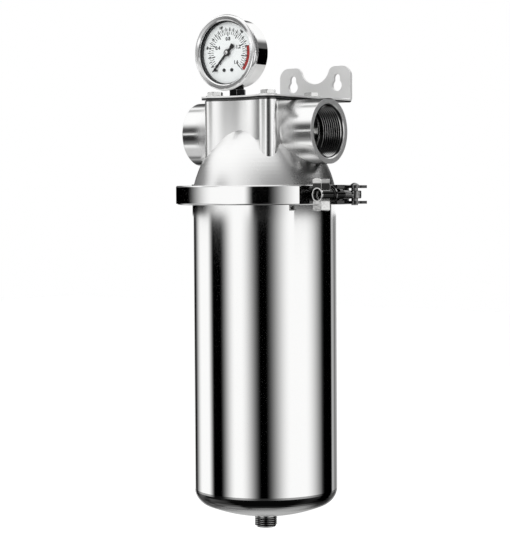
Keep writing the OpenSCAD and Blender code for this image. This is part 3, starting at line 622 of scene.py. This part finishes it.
class Build:
    """Plain mesh work that several sub-assemblies share."""

    @staticmethod
    def linked(name: str, data: Any) -> bpy.types.Object:
        """Puts a new object with the given data into the scene and returns it."""
        made = bpy.data.objects.new(name, data)
        bpy.context.scene.collection.objects.link(made)
        return made

    @staticmethod
    def baked(host: bpy.types.Object) -> Mesh:
        """Returns an object's final mesh and takes the object out of the scene."""
        graph = bpy.context.evaluated_depsgraph_get()
        mesh = bpy.data.meshes.new_from_object(host.evaluated_get(graph))
        host.modifiers.clear()
        bpy.data.objects.remove(host)
        return mesh

    @staticmethod
    def closed(name: str, work: bmesh.types.BMesh) -> Mesh:
        """Ends work on a mesh and returns it under its name."""
        mesh = bpy.data.meshes.new(name)
        work.to_mesh(mesh)
        work.free()
        return mesh

    @staticmethod
    def shade(mesh: Mesh, angle: float) -> None:
        """Shades a mesh smooth but for edges sharper than an angle in degrees."""
        mesh.polygons.foreach_set("use_smooth", [True] * len(mesh.polygons))
        mesh.set_sharp_from_angle(angle=radians(angle))
        mesh.update()

    @staticmethod
    def joined(name: str, parts: Sequence[Mesh]) -> Mesh:
        """Puts several meshes into one, which keeps the first one's materials."""
        work = bmesh.new()
        for part in parts:
            work.from_mesh(part)
        bmesh.ops.remove_doubles(work, verts=work.verts, dist=WELD)
        whole = Build.closed(name, work)
        for material in parts[0].materials:
            whole.materials.append(material)
        Build.shade(whole, 35.0)
        return whole

    @staticmethod
    def lofted(name: str, rows: Iterable[Sequence[Point]], looped: bool = False) -> Mesh:
        """Skins closed rows of points, in millimetres, into one solid.

        Args:
            name: The mesh's name.
            rows: The points of each row.
            looped: Whether the last row meets the first; the ends are capped where it doesn't.

        Returns:
            The solid's mesh.
        """
        work = bmesh.new()
        rings = [[work.verts.new(Vector(point) * MM) for point in row] for row in rows]
        onward = rings[1:] + rings[:1] if looped else rings[1:]
        for one, two in zip(rings, onward):
            for low in range(len(one)):
                high = (low + 1) % len(one)
                work.faces.new((one[low], two[low], two[high], one[high]))
        if not looped:
            work.faces.new(rings[0])
            work.faces.new(rings[-1])
        bmesh.ops.remove_doubles(work, verts=work.verts, dist=WELD)
        bmesh.ops.recalc_face_normals(work, faces=work.faces)
        return Build.closed(name, work)

    @staticmethod
    def turned(name: str, outline: Sequence[Pair], steps: int = 96) -> Mesh:
        """Turns a closed outline of radius and height pairs, in millimetres, round the Z axis."""
        turns = [2 * pi * index / steps for index in range(steps)]
        rows = [[(r * cos(turn), r * sin(turn), z) for r, z in outline] for turn in turns]
        return Build.lofted(name, rows, looped=True)

    @staticmethod
    def softened(node: str, width: float, edge: Material) -> Mesh:
        """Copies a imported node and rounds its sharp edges.

        Args:
            node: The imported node.
            width: Width of the rounding in millimetres.
            edge: The finish of the rounded edges.

        Returns:
            The rounded mesh.
        """
        sharp = 32.0
        level = 0.5
        near = 3e-6
        work = bmesh.new()
        work.from_mesh(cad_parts[node].data)
        bmesh.ops.remove_doubles(work, verts=work.verts, dist=near)
        bmesh.ops.dissolve_limit(work, angle_limit=radians(level), verts=work.verts, edges=work.edges)
        mesh = Build.closed(node + "_soft", work)
        for material in (*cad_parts[node].data.materials, edge):
            mesh.materials.append(material)
        Build.shade(mesh, sharp)
        host = Build.linked(node + "_soft", mesh)
        bevel = host.modifiers.new("edges", "BEVEL")
        bevel.width = width * MM
        bevel.segments = 2
        bevel.limit_method = "ANGLE"
        bevel.angle_limit = radians(sharp)
        bevel.harden_normals = True
        bevel.material = 1
        even = host.modifiers.new("faces", "WEIGHTED_NORMAL")
        even.keep_sharp = True
        return Build.baked(host)


@dataclass
class ScrewThread:
    """A raised helix with a V profile, cut short at its crest.

    Attributes:
        root: Radius at the foot of the thread, in millimetres.
        crest: Radius at its crest; smaller than the root in a hole.
        pitch: Distance from turn to turn.
        turns: Number of turns.
        foot: Half the profile's width at its foot, in pitches.
        flat: Half its width at the crest.
        sunk: How far the foot lies under the root, as a share of the depth.
    """

    root: float
    crest: float
    pitch: float
    turns: float
    foot: float = 0.47
    flat: float = 0.07
    sunk: float = 0.08

    def mesh(self, name: str, place: Matrix, material: Material, steps: int = 72) -> Mesh:
        """Sweeps the profile along the helix, upwards from the place's origin.

        Args:
            name: The mesh's name.
            place: Where the thread starts and which way it runs.
            material: Its finish.
            steps: Stretches in each turn.

        Returns:
            The thread's mesh.
        """
        recipe = Recipe(name)
        graph = recipe.graph
        root, depth, pitch, turns, resolution = recipe.numbers(
            root_radius=self.root * MM, depth=(self.crest - self.root) * MM, pitch=self.pitch * MM,
            turns=self.turns, steps=steps,
        )
        inputs = {
            "Resolution": resolution, "Rotations": turns, "Start Radius": root, "End Radius": root,
            "Height": pitch * turns, "Reverse": False,
        }
        helix = graph.out("GeometryNodeCurveSpiral", inputs)
        upright = graph.out("GeometryNodeSetCurveNormal", {"Curve": helix}, mode="Z_UP")
        corners = ((self.sunk, -self.foot), (-1.0, -self.flat), (-1.0, self.flat), (self.sunk, self.foot))
        points = {
            f"Point {index + 1}": graph.vector(depth * inwards, pitch * along, 0.0)
            for index, (inwards, along) in enumerate(corners)
        }
        profile = graph.out("GeometryNodeCurvePrimitiveQuadrilateral", points, mode="POINTS")
        inputs = {"Curve": upright, "Profile Curve": profile, "Fill Caps": True}
        recipe.close(graph.out("GeometryNodeCurveToMesh", inputs), material)
        made = recipe.run(name, place)
        work = bmesh.new()
        work.from_mesh(made)
        bmesh.ops.recalc_face_normals(work, faces=work.faces)
        work.to_mesh(made)
        work.free()
        Build.shade(made, 25.0)
        return made


@dataclass
class PipePorts:
    """The two threaded ports of the cast head."""

    axis_z: float = -46.95
    mouth: float = 73.0
    chamfer: float = 1.2
    thread: ScrewThread = field(default_factory=lambda: ScrewThread(23.9, 22.42, 2.309, 9.4))

    def make(self, shop: Shop) -> None:
        """Cuts the pipe threads of both ports."""
        for name, side in (("outlet_thread", 1), ("inlet_thread", -1)):
            start = Vector((side * (self.mouth - self.chamfer), AXIS_Y, self.axis_z)) * MM
            place = Matrix.Translation(start) @ Matrix.Rotation(radians(-90 * side), 4, "Y")
            mesh = self.thread.mesh(name, place, shop.materials["cast_steel"])
            shop.adopt(name, mesh, "vessel", "cast_steel")


@dataclass
class Drain:
    """The threaded nipple under the bowl."""

    top: float = -398.8
    shoulder: float = -401.55
    collar: float = -403.4
    end: float = -413.3
    bore: float = 7.5
    neck: float = 9.1775
    tip: float = 8.6
    chamfer: float = 0.3
    thread: ScrewThread = field(default_factory=lambda: ScrewThread(9.316, 10.4775, 1.814, 4.7))

    def make(self, shop: Shop) -> None:
        """Turns the nipple and adds its thread."""
        low, high = self.thread.root, self.thread.crest
        outline = (
            (self.bore, self.top), (self.neck, self.top), (self.neck, self.shoulder), (10.2, self.shoulder),
            (high, self.shoulder - self.chamfer), (high, self.collar), (low, self.collar - 0.7),
            (low, self.end + 0.9), (self.tip, self.end), (self.bore + 0.4, self.end),
            (self.bore, self.end + 0.5),
        )
        body = Build.turned("nipple_body", outline)
        body.transform(Matrix.Translation((0, AXIS_Y * MM, 0)))
        body.materials.append(shop.materials["machined_steel"])
        place = Matrix.Translation((0, AXIS_Y * MM, (self.end + 1.1) * MM))
        ridge = self.thread.mesh("nipple_ridge", place, shop.materials["machined_steel"])
        whole = Build.joined("drain_nipple_threaded", (body, ridge))
        shop.adopt("drain_nipple_threaded", whole, "vessel", "machined_steel", "drain_nipple")


@dataclass
class BracketBolts:
    """The four hexagon bolts and washers that hold the bracket on the head."""

    span_x: float = 60.0
    span_y: float = 69.0
    seat: float = -14.0
    washer: Tuple[float, float, float] = (8.5, 4.2, 0.9)
    flats: float = 13.0
    head: float = 3.5
    shank: float = 4.0
    length: float = 22.0
    turn: float = 6.0
    apart: float = 63.0
    face: float = 0.94
    chamfer: float = 30.0

    def head_mesh(self) -> Mesh:
        """Builds one bolt with a chamfered hexagon head, its seat at z = 0."""
        half = self.flats / 2
        flat_r = half * self.face
        turns = [2 * pi * index / 72 for index in range(72)]
        rows: List[List[Point]] = [[] for _ in range(6)]
        for turn in turns:
            away = half / cos((turn + radians(self.turn)) % (pi / 3) - pi / 6)
            upper = self.head - (away - flat_r) * tan(radians(self.chamfer))
            outline = (
                (self.shank, -self.length), (self.shank, 0.0), (away, 0.0), (away, upper),
                (flat_r, self.head), (flat_r * 0.8, self.head - 0.25),
            )
            for row, (r, z) in zip(rows, outline):
                row.append((cos(turn) * r, sin(turn) * r, z))
        mesh = Build.lofted("hex_bolt", rows)
        Build.shade(mesh, 20.0)
        return mesh

    def washer_mesh(self) -> Mesh:
        """Turns one washer with rounded rims, its seat at z = 0."""
        out, hole, thick = self.washer
        outline = (
            (hole, 0.0), (out - 0.25, 0.0), (out, 0.25),
            (out, thick - 0.35), (out - 0.35, thick), (hole, thick),
        )
        mesh = Build.turned("flat_washer", outline, 72)
        Build.shade(mesh, 50.0)
        return mesh

    def spread(self, name: str, mesh: Mesh, height: float, material: Material) -> Mesh:
        """Puts a mesh on the four corners of a rectangle.

        Args:
            name: The new mesh's name.
            mesh: What is repeated.
            height: Height of its seat, in millimetres.
            material: Its finish.

        Returns:
            The four together.
        """
        recipe = Recipe(name)
        graph = recipe.graph
        wide, deep, level, apart = recipe.numbers(
            span_x=self.span_x * MM, span_y=self.span_y * MM, height=height * MM, apart=radians(self.apart),
        )
        middle = graph.vector(0.0, AXIS_Y * MM, level)
        grid = graph.out("GeometryNodeMeshGrid", {0: wide, 1: deep, 2: 2, 3: 2})
        moved = graph.out("GeometryNodeTransform", {"Geometry": grid, "Translation": middle})
        template = bpy.data.objects.new(name + "_template", mesh)
        shape = graph.node("GeometryNodeObjectInfo", {"Object": template}).outputs["Geometry"]
        index = Wire(graph, graph.out("GeometryNodeInputIndex"))
        turn = graph.vector(0.0, 0.0, index * apart)
        inputs = {"Points": moved, "Instance": shape, "Rotation": turn}
        recipe.close(graph.out("GeometryNodeInstanceOnPoints", inputs), material)
        placed = recipe.run(name, Matrix.Identity(4))
        bpy.data.objects.remove(template)
        return placed

    def make(self, shop: Shop) -> None:
        """Places four bolts and four washers."""
        finish = shop.materials["fastener_steel"]
        for name, mesh, height, node in (
            ("bracket_bolt_set", self.head_mesh(), self.seat + self.washer[2], "bracket_bolts"),
            ("bracket_washer_set", self.washer_mesh(), self.seat, "bracket_washers"),
        ):
            placed = self.spread(name, mesh, height, finish)
            shop.adopt(name, placed, "vessel", "fastener_steel", node)


@dataclass
class WornEdges:
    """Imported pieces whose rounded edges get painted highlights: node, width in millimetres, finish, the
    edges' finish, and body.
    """

    pieces: Tuple[Tuple[str, float, str, str, str], ...] = (
        ("wing_nut", 1.2, "nut_steel", "worn_edge", "wing_nut"),
        ("gauge_socket", 0.7, "dark_fitting", "worn_black_edge", "vessel"),
    )

    def make(self, shop: Shop) -> None:
        """Rounds each of them."""
        for node, width, slot, edge, body in self.pieces:
            shop.adopt(node + "_rounded", Build.softened(node, width, shop.materials[edge]), body, slot, node)


@dataclass
class SwingBolt:
    """The clamp's threaded eye bolt."""

    turn: float = 9.0
    line: float = 97.0
    pin_y: float = 17.4
    eye_r: float = 6.2
    hole_r: float = 3.05
    eye_h: float = 7.0
    neck_y: float = 12.8
    neck_r: float = 3.6
    neck: float = 2.0
    end_y: float = -25.7
    steps: int = 40
    thread: ScrewThread = field(default_factory=lambda: ScrewThread(3.32, 3.98, 1.25, 28.0))

    def place(self, y: float) -> Matrix:
        """A matrix at a point of the bolt's line, with the closure's own axes."""
        axis = Matrix.Translation(Vector((0, AXIS_Y, CLAMP_Z)) * MM)
        turn = Matrix.Rotation(radians(-self.turn), 4, "Z")
        return axis @ turn @ Matrix.Translation(Vector((self.line, y, 0)) * MM)

    def make(self, shop: Shop) -> None:
        """Builds the eye, the rod and its thread."""
        out, hole, half, root = self.eye_r, self.hole_r, self.eye_h / 2, self.thread.root
        upper = (
            (out, 0.0), (out - 0.2, half - 0.5), (out - 0.8, half), (hole + 0.3, half), (hole, half - 0.3),
        )
        lower = tuple((r, -z) for r, z in reversed(upper[1:]))
        eye = Build.turned("eye", lower + upper, 72)
        eye.transform(self.place(self.pin_y))
        eye.materials.append(shop.materials["bolt_steel"])
        run = self.neck_y - self.end_y
        outline = (
            (0.0, 0.0), (root, 0.0), (root, run - self.neck - 0.6), (self.neck_r, run - self.neck),
            (self.neck_r, run), (0.0, run),
        )
        rod = Build.turned("rod", outline, 48)
        down = self.place(self.end_y) @ Matrix.Rotation(radians(-90), 4, "X")
        rod.transform(down)
        start = down @ Matrix.Translation((0, 0, 0.8 * MM))
        ridge = self.thread.mesh("rod_ridge", start, shop.materials["bolt_steel"], self.steps)
        whole = Build.joined("swing_bolt_threaded", (eye, rod, ridge))
        shop.adopt("swing_bolt_threaded", whole, "swing_bolt", "bolt_steel", "swing_bolt")


Ring = Tuple[str, int, float, float, float]


@dataclass
class GaugeDial:
    """What is printed on the dial of the pressure gauge, and the pointer's cap.

    Attributes:
        centre: Middle of the gauge, in millimetres.
        face: How far in front of it the dial's face lies.
        print_t: Thickness of the print.
        zero: Angle of the scales' start, in degrees.
        sweep: How far they run, clockwise.
        full: What the inner scale's end stands for.
        numbers: The inner scale's numbers.
        number_r: Radius that they stand on.
        number_size: Their height.
        em: Size of the type over the height of its digits.
        bold: How far the digits are thickened, in metres.
        outer_full: What the outer scale's end stands for.
        outer_numbers: The outer scale's numbers.
        outer_r: Radius that they stand on.
        outer_size: Their height.
        rings: Name, count, inner and outer radius and width of each ring of marks.
        red: Inner and outer radius of the red band, and its two angles.
        cap: Outline of the cap.
    """

    centre: Point = (-30.0, -87.0, 27.7)
    face: float = 14.4
    print_t: float = 0.05
    zero: float = 225.0
    sweep: float = 270.0
    full: float = 1.6
    numbers: Tuple[float, ...] = (0.0, 0.4, 0.8, 1.2, 1.6)
    number_r: float = 12.9
    number_size: float = 3.3
    em: float = 1.35
    bold: float = 0.0002
    outer_full: float = 232.0
    outer_numbers: Tuple[int, ...] = (50, 100, 150)
    outer_r: float = 24.6
    outer_size: float = 2.1
    rings: Tuple[Ring, ...] = (
        ("inner_marks", 41, 16.9, 19.6, 0.62),
        ("inner_long_marks", 9, 15.4, 19.6, 1.0),
        ("outer_marks", 59, 20.0, 22.4, 0.46),
        ("outer_long_marks", 24, 20.0, 23.6, 0.75),
    )
    red: Tuple[float, float, float, float] = (21.8, 25.0, 14.0, -43.0)
    cap: Tuple[Pair, ...] = ((0.0, 17.0), (1.9, 17.0), (1.9, 17.5), (1.5, 17.8), (0.7, 17.95), (0.0, 18.0))

    def place(self) -> Matrix:
        """The dial's own frame: X to the right, Y up, Z out of the face."""
        upright = Matrix(((1, 0, 0, 0), (0, 0, -1, 0), (0, 1, 0, 0), (0, 0, 0, 1)))
        return Matrix.Translation(Vector(self.centre) * MM) @ upright

    def ticks(self, ring: Ring, material: Material) -> Mesh:
        """Prints one ring of scale marks in the given ink and returns it."""
        name, count, r_in, r_out, width = ring
        recipe = Recipe(name)
        graph = recipe.graph
        marks, middle, length, broad, thick, first, sweep = recipe.numbers(
            marks=count, radius=(r_in + r_out) / 2 * MM, length=(r_out - r_in) * MM, width=width * MM,
            thickness=self.print_t * MM, first=radians(self.zero), sweep=radians(self.sweep),
        )
        line = graph.out("GeometryNodeMeshLine", {"Count": marks})
        index = Wire(graph, graph.out("GeometryNodeInputIndex"))
        turn = first - sweep * index / (marks - 1)
        across = graph.math("COSINE", turn) * middle
        along = graph.math("SINE", turn) * middle
        spot = graph.vector(across, along, thick * 0.5)
        laid = graph.out("GeometryNodeSetPosition", {"Geometry": line, "Position": spot})
        mark = graph.out("GeometryNodeMeshCube", {"Size": graph.vector(length, broad, thick)})
        inputs = {"Points": laid, "Instance": mark, "Rotation": graph.vector(0.0, 0.0, turn)}
        recipe.close(graph.out("GeometryNodeInstanceOnPoints", inputs), material)
        return recipe.run(name, self.place() @ Matrix.Translation((0, 0, self.face * MM)))

    def band(self, material: Material) -> Mesh:
        """Prints the red band."""
        r_in, r_out, start, end = self.red
        high = self.print_t * 0.8
        steps = int(abs(start - end))
        turns = [radians(start + (end - start) * index / steps) for index in range(steps + 1)]
        section = ((r_in, 0.0), (r_out, 0.0), (r_out, high), (r_in, high))
        rows = [[(r * cos(turn), r * sin(turn), z) for r, z in section] for turn in turns]
        mesh = Build.lofted("red_band", rows)
        mesh.transform(self.place() @ Matrix.Translation((0, 0, self.face * MM)))
        mesh.materials.append(material)
        return mesh

    def number(self, text: str, angle: float, radius: float, size: float, lean: float, ink: Material) -> Mesh:
        """Prints one number.

        Args:
            text: Its digits.
            angle: Its angle on the dial, in degrees.
            radius: Its radius, in millimetres.
            size: Its height.
            lean: How far it is turned.
            ink: The ink.

        Returns:
            The number's mesh.
        """
        curve = bpy.data.curves.new("digits", "FONT")
        curve.body = text
        curve.size = size * MM * self.em
        curve.align_x = "CENTER"
        curve.align_y = "CENTER"
        curve.extrude = self.print_t * MM * 0.4
        curve.offset = self.bold
        curve.resolution_u = 3
        mesh = Build.baked(Build.linked("digits", curve))
        spot = Vector((cos(radians(angle)), sin(radians(angle)), 0)) * radius * MM
        spot.z = (self.face + self.print_t * 0.4) * MM
        mesh.transform(self.place() @ Matrix.Translation(spot) @ Matrix.Rotation(radians(lean), 4, "Z"))
        mesh.materials.append(ink)
        return mesh

    def angle(self, share: float) -> float:
        """The angle of a share of the full scale."""
        return self.zero - self.sweep * share

    def make(self, shop: Shop) -> None:
        """Prints the scales, the numbers and the red band, and turns the cap."""
        ink = shop.materials["pointer_black"]
        marks = [self.ticks(ring, ink) for ring in self.rings]
        shop.adopt("dial_scale", Build.joined("dial_scale", marks), "vessel", "pointer_black")
        digits = []
        for value in self.numbers:
            angle = self.angle(value / self.full)
            digits.append(self.number(f"{value:g}", angle, self.number_r, self.number_size, 0.0, ink))
        for value in self.outer_numbers:
            angle = self.angle(value / self.outer_full)
            digits.append(self.number(str(value), angle, self.outer_r, self.outer_size, angle - 90, ink))
        shop.adopt("dial_numbers", Build.joined("dial_numbers", digits), "vessel", "pointer_black")
        shop.adopt("dial_red_band", self.band(shop.red), "vessel", "dial_white")
        cap = Build.turned("needle_cap", self.cap, 48)
        Build.shade(cap, 40.0)
        cap.transform(self.place())
        shop.adopt("needle_cap", cap, "pointer", "gauge_steel")


@dataclass(frozen=True)
class Flag:
    """A dark card in the studio, as the directions that it covers.

    Attributes:
        left: From where it starts to where it is full, in degrees right of the camera's side.
        right: From where it is full to where it ends.
        low: From where it starts to where it is full, in degrees above the horizon.
        high: From where it is full to where it ends.
        depth: How dark it is, from 0 to 1.
    """

    left: Pair
    right: Pair
    low: Pair
    high: Pair
    depth: float = 1.0

    def light(self, graph: Graph, side: Wire, up: Wire) -> Wire:
        """The share of light that it lets past in a direction."""
        across = graph.step(side, *self.left) * graph.step(side, self.right[1], self.right[0])
        along = graph.step(up, *self.low) * graph.step(up, self.high[1], self.high[0])
        return 1 - across * along * self.depth


BOWL = ((-30.0, -14.0), (-0.7, -0.62))
RING = ((-0.7, -0.62), (0.75, 1.1))
HEAD = (0.75, 1.1)
FLAGS: Tuple[Flag, ...] = (
    # Stripes of the bowl, just below the horizon
    Flag((-40, -7), (1, 42), *BOWL),
    Flag((-104, -90), (-76, -48), *BOWL),
    Flag((-162, -153), (-149, -122), *BOWL),
    Flag((66, 112), (121, 142), *BOWL),
    Flag((128, 142), (179, 181), *BOWL, depth=0.62),
    Flag((143, 149), (151, 158), *BOWL, depth=0.6),
    # Stripes of the clamp ring, at the horizon
    Flag((-181, -180), (-118, -70), *RING),
    Flag((-27, -14), (4, 46), *RING),
    Flag((47.5, 49), (128, 140), *RING),
    # Shades of the head, the bracket and the gauge, above the horizon
    Flag((-24, -8), (14, 44), HEAD, (8, 22), depth=0.95),
    Flag((-181, -180), (-124, -94), HEAD, (17, 27), depth=0.84),
    Flag((100, 124), (180, 181), HEAD, (6, 9), depth=0.75),
    Flag((86, 104), (136, 160), (4, 9), (20, 30), depth=0.88),
    Flag((-84, -60), (-44, -24), (0.8, 3.0), (6, 10), depth=0.75),
    Flag((-80, 25), (40, 52), (12, 24), (22, 76), depth=0.8),
    Flag((30, 58), (84, 102), (10, 18), (64, 82), depth=0.96),
    Flag((-181, -180), (-168, -152), HEAD, (58, 72), depth=0.92),
    Flag((-152, -140), (-138, -122), (42, 50), (58, 72), depth=0.6),
    Flag((-94, -84), (-70, -56), (3, 6), (14, 34), depth=0.95),
    Flag((100, 106), (131, 137), (-38, -34), (10, 12.5)),
    Flag((116, 122), (158, 166), (3, 6), (22, 28), depth=0.97),
    Flag((62, 70), (100, 105), (3, 6), (24, 30), depth=0.95),
    Flag((166, 176), (180, 181), HEAD, (46, 54), depth=0.9),
    # Shades of the bowl's bend and its bottom, from the ground
    Flag((-178, -160), (-150, -134), (-58, -40), (-30, -14), depth=0.8),
    Flag((-181, -180), (-150, -134), (-91, -90), (-30, -14), depth=0.35),
    Flag((-150, -134), (-128, -112), (-91, -90), (-30, -14), depth=0.85),
    Flag((-128, -112), (-84, -66), (-92, -74), (-76, -64), depth=0.85),
    Flag((-128, -112), (-84, -66), (-76, -64), (-40, -30), depth=0.45),
    Flag((-128, -112), (-84, -66), (-30, -26), (-20, -14), depth=0.85),
    Flag((-84, -66), (60, 110), (-92, -70), (-30, -14), depth=0.95),
    Flag((-181, -180), (180, 181), (-93, -92), (-86, -70), depth=0.45),
    Flag((60, 110), (158, 176), (-58, -40), (-30, -14), depth=0.9),
    Flag((60, 110), (180, 181), (-91, -90), (-30, -14), depth=0.35),
)


@dataclass(frozen=True)
class PaleFloor(Finish):
    """A pale floor that the camera sees as white wherever the part casts no shadow; lift is what it adds."""

    lift: float = 0.3

    def dress(self, graph: Graph, shader: Socket) -> None:
        """Lifts what the camera sees and leaves what lights the part."""
        seen = Wire(graph, graph.node("ShaderNodeLightPath").outputs["Is Camera Ray"])
        lift = graph.out("ShaderNodeEmission", {"Color": (1, 1, 1), "Strength": seen * self.lift})
        both = graph.out("ShaderNodeAddShader", {0: shader, 1: lift})
        graph.node("ShaderNodeOutputMaterial", {"Surface": both})


@dataclass
class Studio:
    """Camera, lights, floor and surroundings.

    Attributes:
        camera: Where the camera stands, in metres.
        heading: Its heading, in degrees anticlockwise from +Y.
        pitch: How far it looks down.
        roll: How far the picture's top leans left.
        lens: Focal length on a 36 mm sensor.
        front: The side that the cards are counted from, in degrees from -Y towards +X.
        floor: Height of the floor.
        mirrored: Strength of the surroundings in what is mirrored.
        diffuse: Their strength on what is matt.
    """

    camera: Point = (0.94046, -1.38143, -0.1043)
    heading: float = 36.32
    pitch: float = 2.42
    roll: float = 0.36
    lens: float = 115.8
    front: float = 36.0
    floor: float = -0.52
    mirrored: float = 1.04
    diffuse: float = 0.8

    def set_camera(self) -> None:
        """Places the camera of the photograph."""
        data = bpy.data.cameras.new("camera")
        data.lens = self.lens
        data.sensor_width = 36.0
        data.clip_start = 0.05
        camera = Build.linked("camera", data)
        camera.matrix_world = (
            Matrix.Translation(self.camera)
            @ Matrix.Rotation(radians(self.heading), 4, "Z")
            @ Matrix.Rotation(radians(90 - self.pitch), 4, "X")
            @ Matrix.Rotation(radians(-self.roll), 4, "Z")
        )
        bpy.context.scene.camera = camera

    def set_world(self) -> None:
        """White surroundings, with the dark cards that polished metal shows."""
        world = bpy.data.worlds.new("studio")
        bpy.context.scene.world = world
        world.use_nodes = True
        world.node_tree.nodes.clear()
        graph = Graph(world.node_tree)
        x, y, z = graph.split(graph.node("ShaderNodeTexCoord").outputs["Generated"])
        turn = radians(self.front)
        ahead = x * sin(turn) - y * cos(turn)
        right = x * cos(turn) + y * sin(turn)
        side = graph.math("ARCTAN2", right, ahead) * degrees(1)
        up = graph.math("ARCSINE", z) * degrees(1)
        level = FLAGS[0].light(graph, side, up)
        for flag in FLAGS[1:]:
            level = level * flag.light(graph, side, up)
        path = graph.node("ShaderNodeLightPath")
        seen = Wire(graph, path.outputs["Is Camera Ray"]) + Wire(graph, path.outputs["Is Transmission Ray"])
        gloss = Wire(graph, path.outputs["Is Glossy Ray"])
        plain = 1 - graph.math("MINIMUM", seen + gloss, 1.0)
        strength = graph.math("MINIMUM", seen, 1.0) + gloss * level * self.mirrored + plain * self.diffuse
        background = graph.out("ShaderNodeBackground", {"Color": (1, 1, 1), "Strength": strength})
        graph.node("ShaderNodeOutputWorld", {"Surface": background})

    def set_lights(self) -> None:
        """Two large soft lamps, one high on each side of the camera, that no mirror shows."""
        aim = Vector((0.0, AXIS_Y * MM, -0.15))
        for name, spot, watts in (("key", (-0.6, -2.0, 1.3), 18.0), ("fill", (2.2, -0.9, 0.8), 8.0)):
            data = bpy.data.lights.new(name, "AREA")
            data.energy = watts
            data.size = 1.4
            lamp = Build.linked(name, data)
            lamp.visible_glossy = False
            lamp.location = spot
            lamp.rotation_euler = (aim - Vector(spot)).to_track_quat("-Z", "Y").to_euler()

    def set_floor(self) -> None:
        """A plain pale floor below the part."""
        mesh = bpy.data.meshes.new("floor")
        reach = 4.0
        corners = [(-reach, -reach), (reach, -reach), (reach, reach), (-reach, reach)]
        mesh.from_pydata([(x, y, self.floor) for x, y in corners], [], [(0, 1, 2, 3)])
        floor = Build.linked("floor", mesh)
        paint = PaleFloor("pale_floor", (0.93, 0.93, 0.93), 0.8, metallic=0.0, grain_depth=0.0)
        mesh.materials.append(paint.build())
        floor.visible_glossy = False

    def make(self) -> None:
        """Sets the whole studio up."""
        bpy.context.scene.view_settings.view_transform = "Standard"
        self.set_camera()
        self.set_world()
        self.set_lights()
        self.set_floor()


def main() -> None:
    """Builds the dressed part in its studio, piece by piece."""
    logging.basicConfig(level=logging.INFO, format="%(name)s: %(message)s")
    shop = Shop(FINISHES)
    shop.dress_nodes()
    for assembly in (PipePorts(), Drain(), BracketBolts(), WornEdges(), SwingBolt(), GaugeDial()):
        assembly.make(shop)
    Studio().make()


if __name__ == "__main__":
    main()
